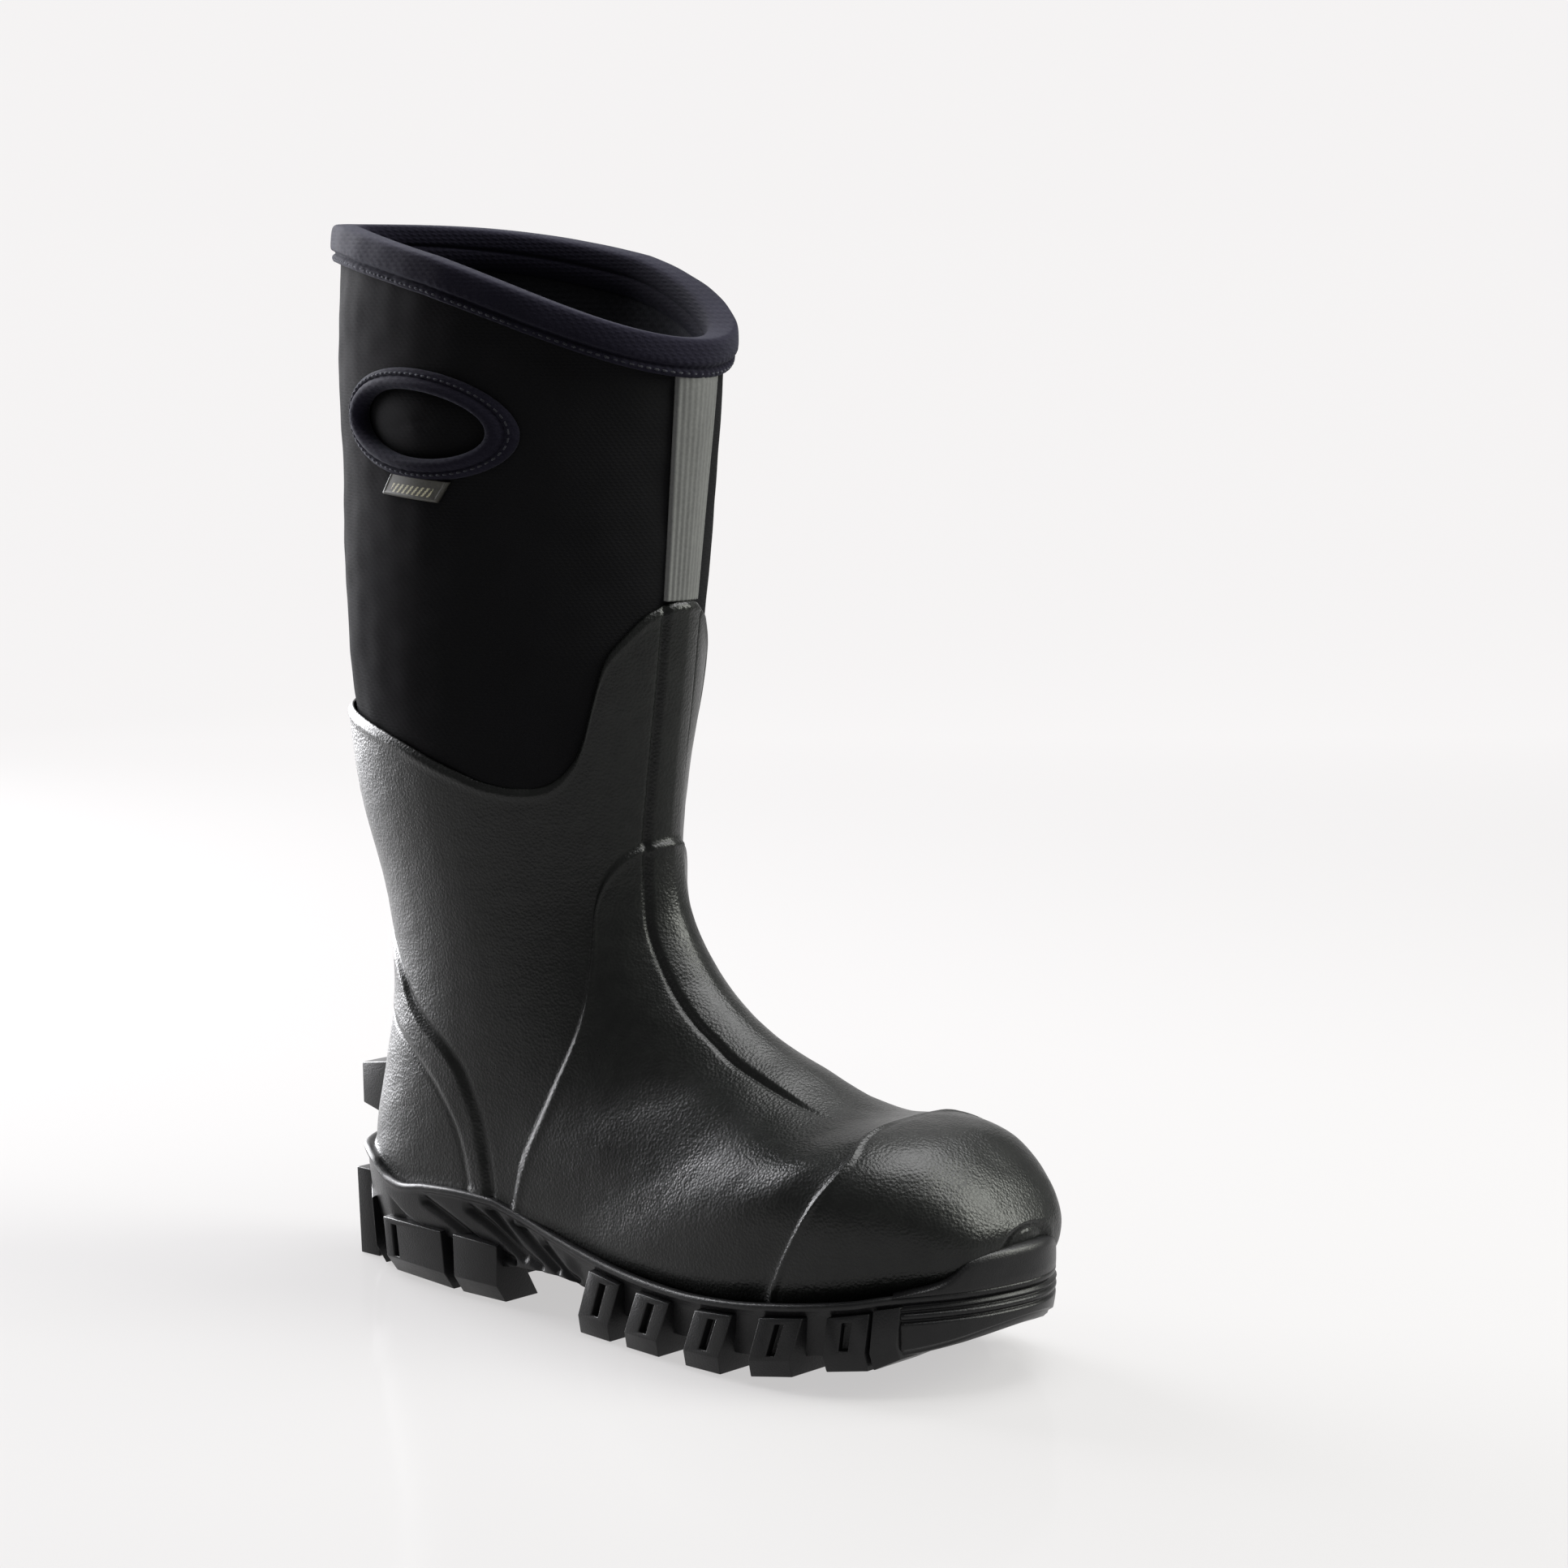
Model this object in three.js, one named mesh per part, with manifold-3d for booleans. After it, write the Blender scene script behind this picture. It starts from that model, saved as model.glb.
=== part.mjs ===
// Steel toe rubber work boot, right foot: a moulded rubber foot and gaiter over a neoprene shaft.
// Millimetres, +X to the toe, +Z up, lateral side on -Y. The group is centred over its sole.
import * as THREE from 'three';
import Module from 'manifold-3d';

const wasm = await Module();
wasm.setup();

// ---- Overall sizes ----
const FOOT_LENGTH = 311;        // sole, heel to toe
const FOOT_WIDTH = 110;         // sole across the ball
const SHAFT_HEIGHT = 279;       // ankle level to the top of the collar at the back
const ANKLE_LEVEL = 120;        // heights above this follow the shaft height
const RIM_DROP = 41;            // how much lower the collar is in front than behind

// ---- Layers, from the rubber skin inwards ----
const GAP = 0.3;                // clearance between neighbouring pieces
const LAYER_GAP = 0.5;          // clearance between the wide curved layers
const FLOOR_GAP = 1;            // under the insole board, where the sock curves up at the heel
const RUBBER = 1.8;
const OVERLAY = 1.0;            // raised reinforcing panels outside the skin
const NEOPRENE = 4.5;
const LINING = 1.0;
const STEEL_CAP = 2.2;
const BOARD = 1.5;
const FOOTBED = 4.5;
const COVER = 0.8;

// ---- Sole ----
const WEB = 3;                  // rubber under the pocket that holds the plate and midsole
const POCKET_INSET = 6;         // pocket wall, in from the sole's edge
const PLATE = 1.5;
const SHANK = 1.6;
const LUG_STEP = 2.5;           // how far the side lugs stand out past the lip
const LUG_REACH = 24;           // how far they run in under the foot
const LUG_LEAN = 6;             // how far forward the forefoot lugs lean at the top
const LEANING = [140, 260];     // lengthwise span in which they lean

// ---- Trim ----
const BINDING = 9.5;            // collar binding, down the outside
const BINDING_TOP = 4.5;        // collar roll above the shaft's cut edge
const STRIP_HALF = 9.5;         // front strip and instep ridge
const HANDLE_X = 77;
const HANDLE_BELOW_RIM = 72;
const HANDLE_HOLE = [34.5, 12.8]; // half length and half height of the finger hole
const HANDLE_BAND = [10.5, 6.7];
const HANDLE_TILT = 4.5;
const BACKING = 2;              // foam behind the finger hole
const LABEL = [30, 6.6];        // tab below the lateral handle, length and height
const LABEL_LEAN = 5.8;

// Depth of each layer below the skin; negative stands outside it.
const INNER_SKIN = RUBBER;
const FOAM_OUT = INNER_SKIN + LAYER_GAP;
const FOAM_IN = FOAM_OUT + NEOPRENE;
const LINING_OUT = FOAM_IN + 1.6 * LAYER_GAP;
const LINING_IN = LINING_OUT + LINING;
const OVER_IN = -0.7;
const OVER_OUT = OVER_IN - OVERLAY;

// Sections of the upper, top to toe. Each is a lens in a tilted plane:
// back point x, z; front point x, z; middle y; lateral and medial half widths;
// where the widest place lies from back to front; front and back fullness.
const SECTIONS = [
  [-20, 410, 171, 410, 0, 57, 56, 0.57, 1.95, 1.5],
  [-18, 350, 167, 350, 0, 59, 58, 0.54, 1.9, 1.65],
  [-11, 293, 161, 293, 0, 59, 58, 0.51, 1.85, 1.8],
  [-6, 238, 155, 238, 0, 57, 56, 0.49, 1.8, 1.9],
  [-1, 188, 150, 198, 0, 50, 49, 0.48, 1.75, 2],
  [11, 146, 148, 168, 0, 44, 43, 0.48, 1.75, 2],
  [16, 110, 152, 146, 0, 41, 40, 0.47, 1.8, 2.05],
  [10, 76, 165, 127, 0, 40, 39, 0.44, 1.9, 2.15],
  [6, 48, 181, 113, 0, 40, 39, 0.41, 2, 2.4],
  [16, 29, 197, 103, 1, 41, 39, 0.39, 2.1, 3.2],
  [62, 27, 213, 96, 2, 43, 40, 0.37, 2.2, 4],
  [115, 25, 229, 90, 3, 46, 42, 0.36, 2.3, 4],
  [165, 21, 246, 86, 4, 52, 46, 0.36, 2.4, 4],
  [210, 18, 263, 87, 6, 54, 47, 0.38, 2.5, 4],
  [252, 21, 281, 83, 9, 51, 43, 0.42, 2.5, 3.6],
  [282, 29, 295, 72, 11, 40, 34, 0.46, 2.4, 3],
  [300, 38, 304, 60, 12, 26, 22, 0.5, 2.2, 2.4],
  [307, 46, 308, 54, 12, 4, 4, 0.5, 2, 2],
];
const TOE = SECTIONS.length - 1;
const ANKLE = 6;

// Outline of the sole's lip seen from above, lateral side then medial side.
const LIP_OUTLINE = [
  [0, 0], [3, -15], [14, -29], [36, -39], [70, -43], [108, -43], [148, -47], [188, -51],
  [226, -53], [260, -48], [286, -36], [304, -15], [311, 11], [305, 30], [288, 47], [262, 56],
  [226, 57], [188, 53], [148, 49], [108, 45], [70, 43], [36, 38], [14, 29], [3, 15],
];
// Heights along the sole: top of the lip, underside of the web, and the ground line of the lugs.
const LIP_TOP = [[0, 46], [14, 45.5], [24, 43.5], [36, 38.5], [45, 37.5], [60, 39.6], [80, 40.8],
  [96, 40.4], [113, 37.1], [128, 33.8], [145, 30.6], [162, 28], [180, 26.3], [200, 25.6], [225, 26.8],
  [245, 28.9], [262, 31.2], [275, 33.3], [287, 35.8], [312, 38]];
const WEB_UNDER = [[0, 13], [60, 12], [90, 14], [112, 16], [134, 14], [150, 10], [200, 9],
  [230, 9.5], [252, 12], [270, 13.5], [288, 15], [300, 18.5], [312, 25]];
const LUG_UNDER = [[0, 0], [215, 0], [236, 2], [253, 4.5], [266, 8], [279, 9.5], [288, 14], [300, 18], [312, 25]];
const BUMPER_TOP = [[288, 37.6], [293, 38.4], [299, 41], [303, 47], [306, 49.2], [312, 50.6]];
const SIDE_LUGS = [[5, 23], [33, 70], [75, 98], [148, 165], [174, 192], [205, 222], [236, 253], [265, 279]];
const CENTRE_LUGS = [[16, 36], [48, 74], [150, 164], [178, 193], [208, 223], [234, 248]];

const LENGTH_SCALE = FOOT_LENGTH / 311;
const WIDTH_SCALE = FOOT_WIDTH / 110;
const SHAFT_SCALE = SHAFT_HEIGHT / 279;

const height = (z) => (z <= ANKLE_LEVEL ? z : ANKLE_LEVEL + (z - ANKLE_LEVEL) * SHAFT_SCALE);

// Straight-line lookup in a table of [position, value].
function lookup(table, at) {
  let i = 1;
  while (i < table.length - 1 && at > table[i][0]) {
    i += 1;
  }
  const [a, va] = table[i - 1];
  const [b, vb] = table[i];
  const t = Math.min(Math.max((at - a) / (b - a), 0), 1);
  return va + (vb - va) * t;
}

const lipTop = (x) => lookup(LIP_TOP, x / LENGTH_SCALE);
const webUnder = (x) => lookup(WEB_UNDER, x / LENGTH_SCALE);
const lugUnder = (x) => lookup(LUG_UNDER, x / LENGTH_SCALE);
const bumperTop = (x) => lookup(BUMPER_TOP, x / LENGTH_SCALE);

function smooth(a, b, c, d, t) {
  return 0.5 * (2 * b + (c - a) * t + (2 * a - 5 * b + 4 * c - d) * t * t
    + (3 * b - a - 3 * c + d) * t * t * t);
}

// One section at any station, sizes applied.
function section(station) {
  const i = Math.min(Math.max(Math.floor(station), 0), TOE - 1);
  const t = station - i;
  const row = SECTIONS[i].map((_, k) => {
    const b = SECTIONS[i][k];
    const c = SECTIONS[i + 1][k];
    const a = i > 0 ? SECTIONS[i - 1][k] : 2 * b - c;
    const d = i < TOE - 1 ? SECTIONS[i + 2][k] : 2 * c - b;
    return smooth(a, b, c, d, t);
  });
  return {
    bx: row[0] * LENGTH_SCALE, bz: height(row[1]), fx: row[2] * LENGTH_SCALE, fz: height(row[3]),
    y: row[4] * WIDTH_SCALE, lateral: row[5] * WIDTH_SCALE, medial: row[6] * WIDTH_SCALE,
    middle: row[7], front: row[8], back: row[9],
  };
}

// Point on the skin. Angle 0 is the front or top line, 90 lateral, 180 back or bottom, -90 medial.
// `full` raises the section's fullness, which rounds its pointed front and back.
function onSkin(station, angle, full = 0) {
  const s = section(station);
  const c = Math.cos(angle * Math.PI / 180);
  const w = Math.sin(angle * Math.PI / 180);
  const n = Math.max(s.back + (s.front - s.back) * (1 + c) / 2, full);
  const r = 1 / (Math.abs(c) ** n + Math.abs(w) ** n) ** (1 / n);
  const along = s.middle + (c > 0 ? (1 - s.middle) * c * r : s.middle * c * r);
  const across = w * r * (w > 0 ? s.lateral : s.medial);
  return new THREE.Vector3(s.bx + (s.fx - s.bx) * along, s.y - across, s.bz + (s.fz - s.bz) * along);
}

// Way out of the boot at a place on the skin, taken from the rounded section so that layers
// under the pointed front and back don't fold.
function outward(station, angle) {
  const lo = Math.max(station - 0.02, 0);
  const hi = Math.min(station + 0.02, TOE);
  const along = onSkin(hi, angle, 2).sub(onSkin(lo, angle, 2));
  const around = onSkin(station, angle + 0.4, 2).sub(onSkin(station, angle - 0.4, 2));
  return around.cross(along).normalize();
}

const at = (station, angle, depth) => onSkin(station, angle)
  .addScaledVector(outward(station, angle), -depth);

// Station where the line at this angle falls to a height.
function stationAt(angle, z, from = 0, to = ANKLE + 0.5) {
  let lo = from;
  let hi = to;
  for (let i = 0; i < 30; i += 1) {
    const mid = (lo + hi) / 2;
    if (onSkin(mid, angle).z > z) {
      lo = mid;
    } else {
      hi = mid;
    }
  }
  return (lo + hi) / 2;
}

// Cut edge of the shaft round the top, and the moulded gaiter's wavy top edge.
function rimHeight(angle) {
  const front = (1 + Math.cos(angle * Math.PI / 180)) / 2;
  return height(399) - BINDING_TOP - RIM_DROP * front ** 1.8;
}
const GAITER_EDGE = [[0, 263.5], [9, 261.6], [17.5, 256.5], [26.5, 246.3], [30.2, 238.5], [33.8, 220.7],
  [37.8, 207], [43.5, 199.5], [50, 195.5], [58, 194.6], [68, 195.7], [80, 200.5], [95, 207.4],
  [118, 213.7], [150, 218], [180, 219]];
const gaiterHeight = (angle) => height(lookup(GAITER_EDGE, Math.abs(angle)));

// Angle at which a section reaches the top of the lip, on the side given by the sign.
function lipAngle(station, side, clear = 0.9) {
  const s = Math.max(station, 9.7);
  let lo = 20;
  let hi = 178;
  for (let i = 0; i < 30; i += 1) {
    const mid = (lo + hi) / 2;
    const p = at(s, side * mid, OVER_OUT);
    if (p.z > lipTop(p.x) + clear) {
      lo = mid;
    } else {
      hi = mid;
    }
  }
  return Math.min((lo + hi) / 2, 124);
}

// ---- Building solids ----
function solid(points, faces) {
  const geometry = new THREE.BufferGeometry();
  geometry.setAttribute('position', new THREE.Float32BufferAttribute(points.flatMap((p) => [p.x, p.y, p.z]), 3));
  let volume = 0;
  for (const [a, b, c] of faces) {
    volume += points[a].dot(new THREE.Vector3().crossVectors(points[b], points[c]));
  }
  geometry.setIndex(volume < 0 ? faces.flatMap(([a, b, c]) => [a, c, b]) : faces.flat());
  geometry.computeVertexNormals();
  return geometry;
}

// Solid between two sheets of points with the same rows and columns. `loop` joins the last
// column to the first; `tips` closes the last row onto one point in each sheet.
function between(outer, inner, { loop = false, tips = null } = {}) {
  const rows = outer.length;
  const cols = outer[0].length;
  const points = [...outer.flat(), ...inner.flat()];
  const id = (side, r, c) => side * rows * cols + r * cols + (c % cols);
  const faces = [];
  const quad = (a, b, c, d) => faces.push([a, b, c], [a, c, d]);
  const span = loop ? cols : cols - 1;
  for (let c = 0; c < span; c += 1) {
    for (let r = 0; r < rows - 1; r += 1) {
      quad(id(0, r, c), id(0, r, c + 1), id(0, r + 1, c + 1), id(0, r + 1, c));
      quad(id(1, r, c), id(1, r + 1, c), id(1, r + 1, c + 1), id(1, r, c + 1));
    }
    quad(id(0, 0, c + 1), id(0, 0, c), id(1, 0, c), id(1, 0, c + 1));
    if (!tips) {
      quad(id(0, rows - 1, c), id(0, rows - 1, c + 1), id(1, rows - 1, c + 1), id(1, rows - 1, c));
    }
  }
  const last = points.length;
  if (tips) {
    points.push(...tips);
    for (let c = 0; c < span; c += 1) {
      faces.push([id(0, rows - 1, c), id(0, rows - 1, c + 1), last]);
      faces.push([id(1, rows - 1, c + 1), id(1, rows - 1, c), last + 1]);
    }
  }
  if (!loop) {
    for (let r = 0; r < rows - 1; r += 1) {
      quad(id(0, r, 0), id(0, r + 1, 0), id(1, r + 1, 0), id(1, r, 0));
      quad(id(0, r + 1, cols - 1), id(0, r, cols - 1), id(1, r, cols - 1), id(1, r + 1, cols - 1));
    }
    if (tips) {
      quad(id(0, rows - 1, 0), last, last + 1, id(1, rows - 1, 0));
      quad(last, id(0, rows - 1, cols - 1), id(1, rows - 1, cols - 1), last + 1);
    }
  }
  return solid(points, faces);
}

const middleOf = (points) => points.reduce((sum, p) => sum.add(p), new THREE.Vector3())
  .divideScalar(points.length);

// Layer of the upper over a grid of [station, angle] places, between two depths.
function layer(places, out, inn, options = {}) {
  const depth = (d, s, a) => (typeof d === 'function' ? d(s, a) : d);
  const outer = places.map((row) => row.map(([s, a]) => at(s, a, depth(out, s, a))));
  const inner = places.map((row) => row.map(([s, a]) => at(s, a, depth(inn, s, a))));
  const last = places.length - 1;
  const tips = options.closed ? [middleOf(outer[last]), middleOf(inner[last])] : null;
  return between(outer, inner, { loop: options.loop, tips });
}

// Every layer that goes round the boot shares these angles and, from the lower shaft down, these
// stations, so their facets stay parallel.
const SHARED = 4.5;
const ROUND = [0, 7.5];
for (let a = 15; a < 350; a += 15) {
  ROUND.push(a > 180 ? a - 360 : a);
}
ROUND.push(-7.5);
const ROUND_INNER = ROUND.filter((a) => Math.abs(a) !== 7.5);

function lowerStations(to, from = SHARED) {
  const list = [];
  for (let s = SHARED + 0.5; s < to - 0.01; s += s >= 10 && s < 14 ? 1 : 0.5) {
    if (s > from + 0.05) {
      list.push(s);
    }
  }
  list.push(to);
  return list;
}

// Grid that starts on an upper edge, given as a station for each angle, and reaches a station.
function placesFrom(edge, angles, shaftRows, to) {
  const rows = [];
  for (let r = 0; r <= shaftRows; r += 1) {
    rows.push(angles.map((a) => {
      const top = edge(a);
      return [top + (SHARED - top) * r / shaftRows, a];
    }));
  }
  for (const s of lowerStations(to)) {
    rows.push(angles.map((a) => [s, a]));
  }
  return rows;
}

const rimStation = (angle, drop = 0.5) => stationAt(angle, rimHeight(angle) - drop);

// Grid ruled between two edges; each edge gives [station, angle] for a position from -1 to 1.
function ruled(first, second, rows, positions) {
  const grid = [];
  for (let r = 0; r <= rows; r += 1) {
    grid.push(positions.map((c) => {
      const [s0, a0] = first(c);
      const [s1, a1] = second(c);
      return [s0 + (s1 - s0) * r / rows, a0 + (a1 - a0) * r / rows];
    }));
  }
  return grid;
}

function steps(from, to, count) {
  return Array.from({ length: count + 1 }, (_, i) => from + (to - from) * i / count);
}

// ---- Joining and cutting ----
function toManifold(geometry) {
  const source = geometry.getAttribute('position').array;
  return new wasm.Manifold(new wasm.Mesh({
    numProp: 3,
    vertProperties: new Float32Array(source),
    triVerts: new Uint32Array(geometry.index.array),
  }));
}

function fromManifold(shape) {
  const mesh = shape.getMesh();
  const geometry = new THREE.BufferGeometry();
  geometry.setAttribute('position', new THREE.Float32BufferAttribute(mesh.vertProperties, 3));
  geometry.setIndex(Array.from(mesh.triVerts));
  const flat = geometry.toNonIndexed();
  flat.computeVertexNormals();
  return flat;
}

// A cut can leave slivers; the piece is the largest body.
function largest(shape) {
  return shape.decompose().reduce((a, b) => (b.volume() > a.volume() ? b : a));
}

// Block between two ends, each a ring of corner points in the same order.
function block(endA, endB) {
  return between([endA], [endB], { loop: true, tips: [middleOf(endA), middleOf(endB)] });
}

const vec = (x, y, z) => new THREE.Vector3(x, y, z);

function box(x0, x1, y0, y1, z0, z1) {
  return block(
    [vec(x0, y0, z0), vec(x0, y1, z0), vec(x0, y1, z1), vec(x0, y0, z1)],
    [vec(x1, y0, z0), vec(x1, y1, z0), vec(x1, y1, z1), vec(x1, y0, z1)],
  );
}

// ---- The sole ----
const lipCurve = new THREE.CatmullRomCurve3(
  LIP_OUTLINE.map(([x, y]) => vec(x * LENGTH_SCALE, y * WIDTH_SCALE, 0)), true, 'centripetal',
);

function outline(inset, count = 48) {
  const points = [];
  for (let i = 0; i < count; i += 1) {
    const p = lipCurve.getPoint(i / count);
    const t = lipCurve.getTangent(i / count);
    points.push(vec(p.x - t.y * inset, p.y + t.x * inset, 0));
  }
  return points;
}

// Half width of the sole's outline at a length, on the side given by the sign of `side`.
function edgeAt(x, side) {
  const points = outline(0, 240).filter((p) => p.y * side < 0);
  return points.reduce((best, p) => (Math.abs(p.x - x) < Math.abs(best.x - x) ? p : best)).y;
}

// Slab over the sole's outline; `levels` lists [inset, height as a function of x] from bottom to top.
function slab(levels) {
  const rings = levels.map(([inset, z]) => outline(inset).map((p) => vec(p.x, p.y, z(p.x))));
  const count = rings[0].length;
  const faces = [];
  const id = (r, i) => r * count + (i % count);
  for (let r = 0; r < rings.length - 1; r += 1) {
    for (let i = 0; i < count; i += 1) {
      faces.push([id(r, i), id(r, i + 1), id(r + 1, i + 1)], [id(r, i), id(r + 1, i + 1), id(r + 1, i)]);
    }
  }
  const top = rings.length - 1;
  for (let i = 0; i < count / 2; i += 1) {
    const [a, b, c, d] = [i, i + 1, count - i - 1, count - i];
    if (i > 0) {
      faces.push([id(0, b), id(0, a), id(0, d)], [id(top, a), id(top, b), id(top, d)]);
    }
    if (i < count / 2 - 1) {
      faces.push([id(0, b), id(0, d), id(0, c)], [id(top, b), id(top, c), id(top, d)]);
    }
  }
  return toManifold(solid(rings.flat(), faces));
}

const lerp = (f, g, t) => (x) => f(x) + (g(x) - f(x)) * t;
const plus = (f, add) => (x) => f(x) + add;

// Underside of the upper along the sole, and the levels stacked in the sole's pocket.
const UNDER = [[0, 48], [16, 29], [62, 27], [115, 25], [165, 21], [210, 18], [252, 21], [282, 29], [307, 46]];
const upperUnder = (x) => lookup(UNDER, x / LENGTH_SCALE);
const pocketFloor = plus(webUnder, WEB);
const plateTop = plus(pocketFloor, GAP + PLATE);
const pocketTop = plus(upperUnder, 4);
const POCKET = [13, 236];

// Solid of the upper's foot, swollen by a clearance, for cutting its seat.
function footSolid(swell, from = ANKLE) {
  const rows = lowerStations(TOE, from)
    .map((s) => ROUND.map((a) => at(s, a, -swell)));
  const points = rows.flat();
  const count = ROUND.length;
  const faces = [];
  for (let r = 0; r < rows.length - 1; r += 1) {
    for (let c = 0; c < count; c += 1) {
      const d = (c + 1) % count;
      faces.push([r * count + c, r * count + d, (r + 1) * count + d]);
      faces.push([r * count + c, (r + 1) * count + d, (r + 1) * count + c]);
    }
  }
  const start = points.length;
  points.push(middleOf(rows[0]), middleOf(rows.at(-1)));
  const end = (rows.length - 1) * count;
  for (let c = 0; c < count; c += 1) {
    const d = (c + 1) % count;
    faces.push([d, c, start], [end + c, end + d, start + 1]);
  }
  return toManifold(solid(points, faces));
}

function lengthwise(shape, x0, x1) {
  return shape.intersect(toManifold(box(x0 * LENGTH_SCALE, x1 * LENGTH_SCALE, -90, 90, -20, 90)));
}

// Lug at the sole's edge: it wraps the side wall up to just under the lip.
function sideLug([x0, x1], side) {
  const lean = x0 > LEANING[0] && x0 < LEANING[1] ? LUG_LEAN * LENGTH_SCALE : 0;
  const end = (xn) => {
    const x = xn * LENGTH_SCALE;
    const y = edgeAt(x, side) - side * LUG_STEP;
    const inner = y + side * LUG_REACH;
    const bottom = lugUnder(x);
    const top = lipTop(x) - 5;
    return [vec(x, y + side * 1.5, bottom), vec(x, inner, bottom), vec(x, inner, webUnder(x) + 1),
      vec(x + lean, y + side * 5, top), vec(x + lean * 0.8, y + side * 1, top - 4), vec(x, y, bottom + 5)];
  };
  return toManifold(block(end(x0), end(x1)));
}

// Recess in a side lug's outer face.
function lugSlot([x0, x1], side) {
  const middle = (x0 + x1) / 2 * LENGTH_SCALE;
  const y = edgeAt(middle, side) - side * LUG_STEP;
  const [near, far] = side > 0 ? [y - 4, y + 2] : [y - 2, y + 4];
  const base = lugUnder(middle);
  return toManifold(box(middle - 2.2, middle + 2.2, near, far, base + 4, lipTop(middle) - 13));
}

function centreLug([x0, x1]) {
  const end = (xn) => {
    const x = xn * LENGTH_SCALE;
    const bottom = lugUnder(x);
    return [vec(x, -13, bottom), vec(x, 15, bottom), vec(x, 17, webUnder(x) + 1), vec(x, -15, webUnder(x) + 1)];
  };
  return toManifold(block(end(x0), end(x1)));
}

function outsole() {
  let shape = slab([[4, webUnder], [1, lerp(webUnder, lipTop, 0.4)], [0.6, plus(lipTop, -4.5)],
    [0, plus(lipTop, -3.5)], [0, lipTop]]);
  for (const side of [1, -1]) {
    for (const range of SIDE_LUGS) {
      shape = shape.add(sideLug(range, side));
    }
  }
  for (const range of CENTRE_LUGS) {
    shape = shape.add(centreLug(range));
  }
  for (const side of [1, -1]) {
    for (const range of SIDE_LUGS.slice(1)) {
      shape = shape.subtract(lugSlot(range, side));
    }
  }
  const pocket = lengthwise(slab([[POCKET_INSET, pocketFloor], [POCKET_INSET, pocketTop]]), ...POCKET);
  return fromManifold(shape.subtract(footSolid(GAP)).subtract(pocket));
}

function toeBumper() {
  const ring = slab([[1.5, plus(lipTop, GAP)], [0.4, lerp(lipTop, bumperTop, 0.5)],
    [0.4, plus(bumperTop, -0.4)], [1.5, bumperTop]]);
  return fromManifold(largest(lengthwise(ring, 290, 330).subtract(footSolid(-OVER_OUT + 0.6))));
}

function puncturePlate() {
  const shape = slab([[POCKET_INSET + 1, plus(pocketFloor, GAP)], [POCKET_INSET + 1, plateTop]]);
  return fromManifold(lengthwise(shape, POCKET[0] + 1, POCKET[1] - 1).subtract(footSolid(GAP)));
}

const SHANK_SPAN = [58, 166];
const SHANK_HALF = 9;

function shankSolid(extra) {
  const rows = steps(SHANK_SPAN[0] - extra, SHANK_SPAN[1] + extra, 12);
  const y = 3 * WIDTH_SCALE;
  const sheet = (lift) => rows.map((xn) => {
    const x = xn * LENGTH_SCALE;
    return [-1, 1].map((k) => vec(x, y + k * (SHANK_HALF + extra), plateTop(x) + lift));
  });
  return between(sheet(2 * GAP + SHANK + extra), sheet(extra > 0 ? -1 : 2 * GAP));
}

function midsole() {
  const shape = slab([[POCKET_INSET + GAP, plus(plateTop, GAP)], [POCKET_INSET + GAP, plus(pocketTop, -GAP)]]);
  return fromManifold(lengthwise(shape, POCKET[0] + GAP, POCKET[1] - GAP)
    .subtract(footSolid(GAP + 0.1)).subtract(toManifold(shankSolid(GAP))));
}

// ---- The upper ----
function rubberShell() {
  const edge = (a) => stationAt(a, gaiterHeight(a));
  return layer(placesFrom(edge, ROUND, 5, TOE), 0, INNER_SKIN, { loop: true, closed: true });
}

// The reinforcing panel over the foot: its swept-back edge, and the seam over the toe cap.
const VAMP_EDGE = [[0, 4.7], [11, 4.75], [25, 4.94], [32, 5.27], [38.8, 5.94], [48, 6.91], [56.5, 7.66],
  [68, 8.61], [75, 9.12], [83.8, 9.57], [96.8, 9.99], [114.5, 10.36]];
const TOE_SEAM = [[0, 12.95], [20, 12.98], [30, 13.08], [40, 13.33], [50, 13.48], [121, 13.51]];
const LIP_COLUMN = 115;
const FOOT_COLUMNS = [...ROUND.filter((a) => Math.abs(a) <= 105), LIP_COLUMN, -LIP_COLUMN]
  .sort((a, b) => a - b);
const VAMP_ROWS = 14;

// Angle of a column over the foot. The outermost runs along the lip; near the tip, where the lip
// rises, its neighbours are squeezed up ahead of it.
function columnAngle(station, a) {
  const lip = lipAngle(station, Math.sign(a) || 1);
  const share = { 75: 0.7, 90: 0.8, 105: 0.9, 115: 1 }[Math.abs(a)];
  if (!share) {
    return a;
  }
  return Math.sign(a) * (share === 1 ? lip : Math.min(Math.abs(a), lip * share));
}

// Grid over the foot from a rear edge to a front edge.
function acrossFoot(rear, front, rows) {
  return steps(0, 1, rows).map((r) => FOOT_COLUMNS.map((a) => {
    const s0 = rear(Math.abs(a));
    const station = s0 + (front(Math.abs(a)) - s0) * r;
    return [station, columnAngle(station, a)];
  }));
}

function vampOverlay() {
  const grid = acrossFoot((a) => lookup(VAMP_EDGE, a), (a) => lookup(TOE_SEAM, a) - 0.03, VAMP_ROWS);
  return layer(grid, OVER_OUT, OVER_IN);
}

function toeOverlay() {
  const grid = acrossFoot((a) => lookup(TOE_SEAM, a) + 0.03, () => 14, 3);
  for (const s of lowerStations(TOE, 14)) {
    grid.push(FOOT_COLUMNS.map((a) => [s, columnAngle(s, a)]));
  }
  const puff = (s) => OVER_OUT - 0.8 * Math.max(0, 1 - Math.abs(s - 13.2) / 1.5);
  return layer(grid, puff, OVER_IN, { closed: true });
}

// Half width of the strip down the front, as an angle of the section.
function stripAngle(station) {
  const s = section(station);
  return Math.asin(STRIP_HALF / Math.min(s.lateral, s.medial)) * 180 / Math.PI;
}

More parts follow.
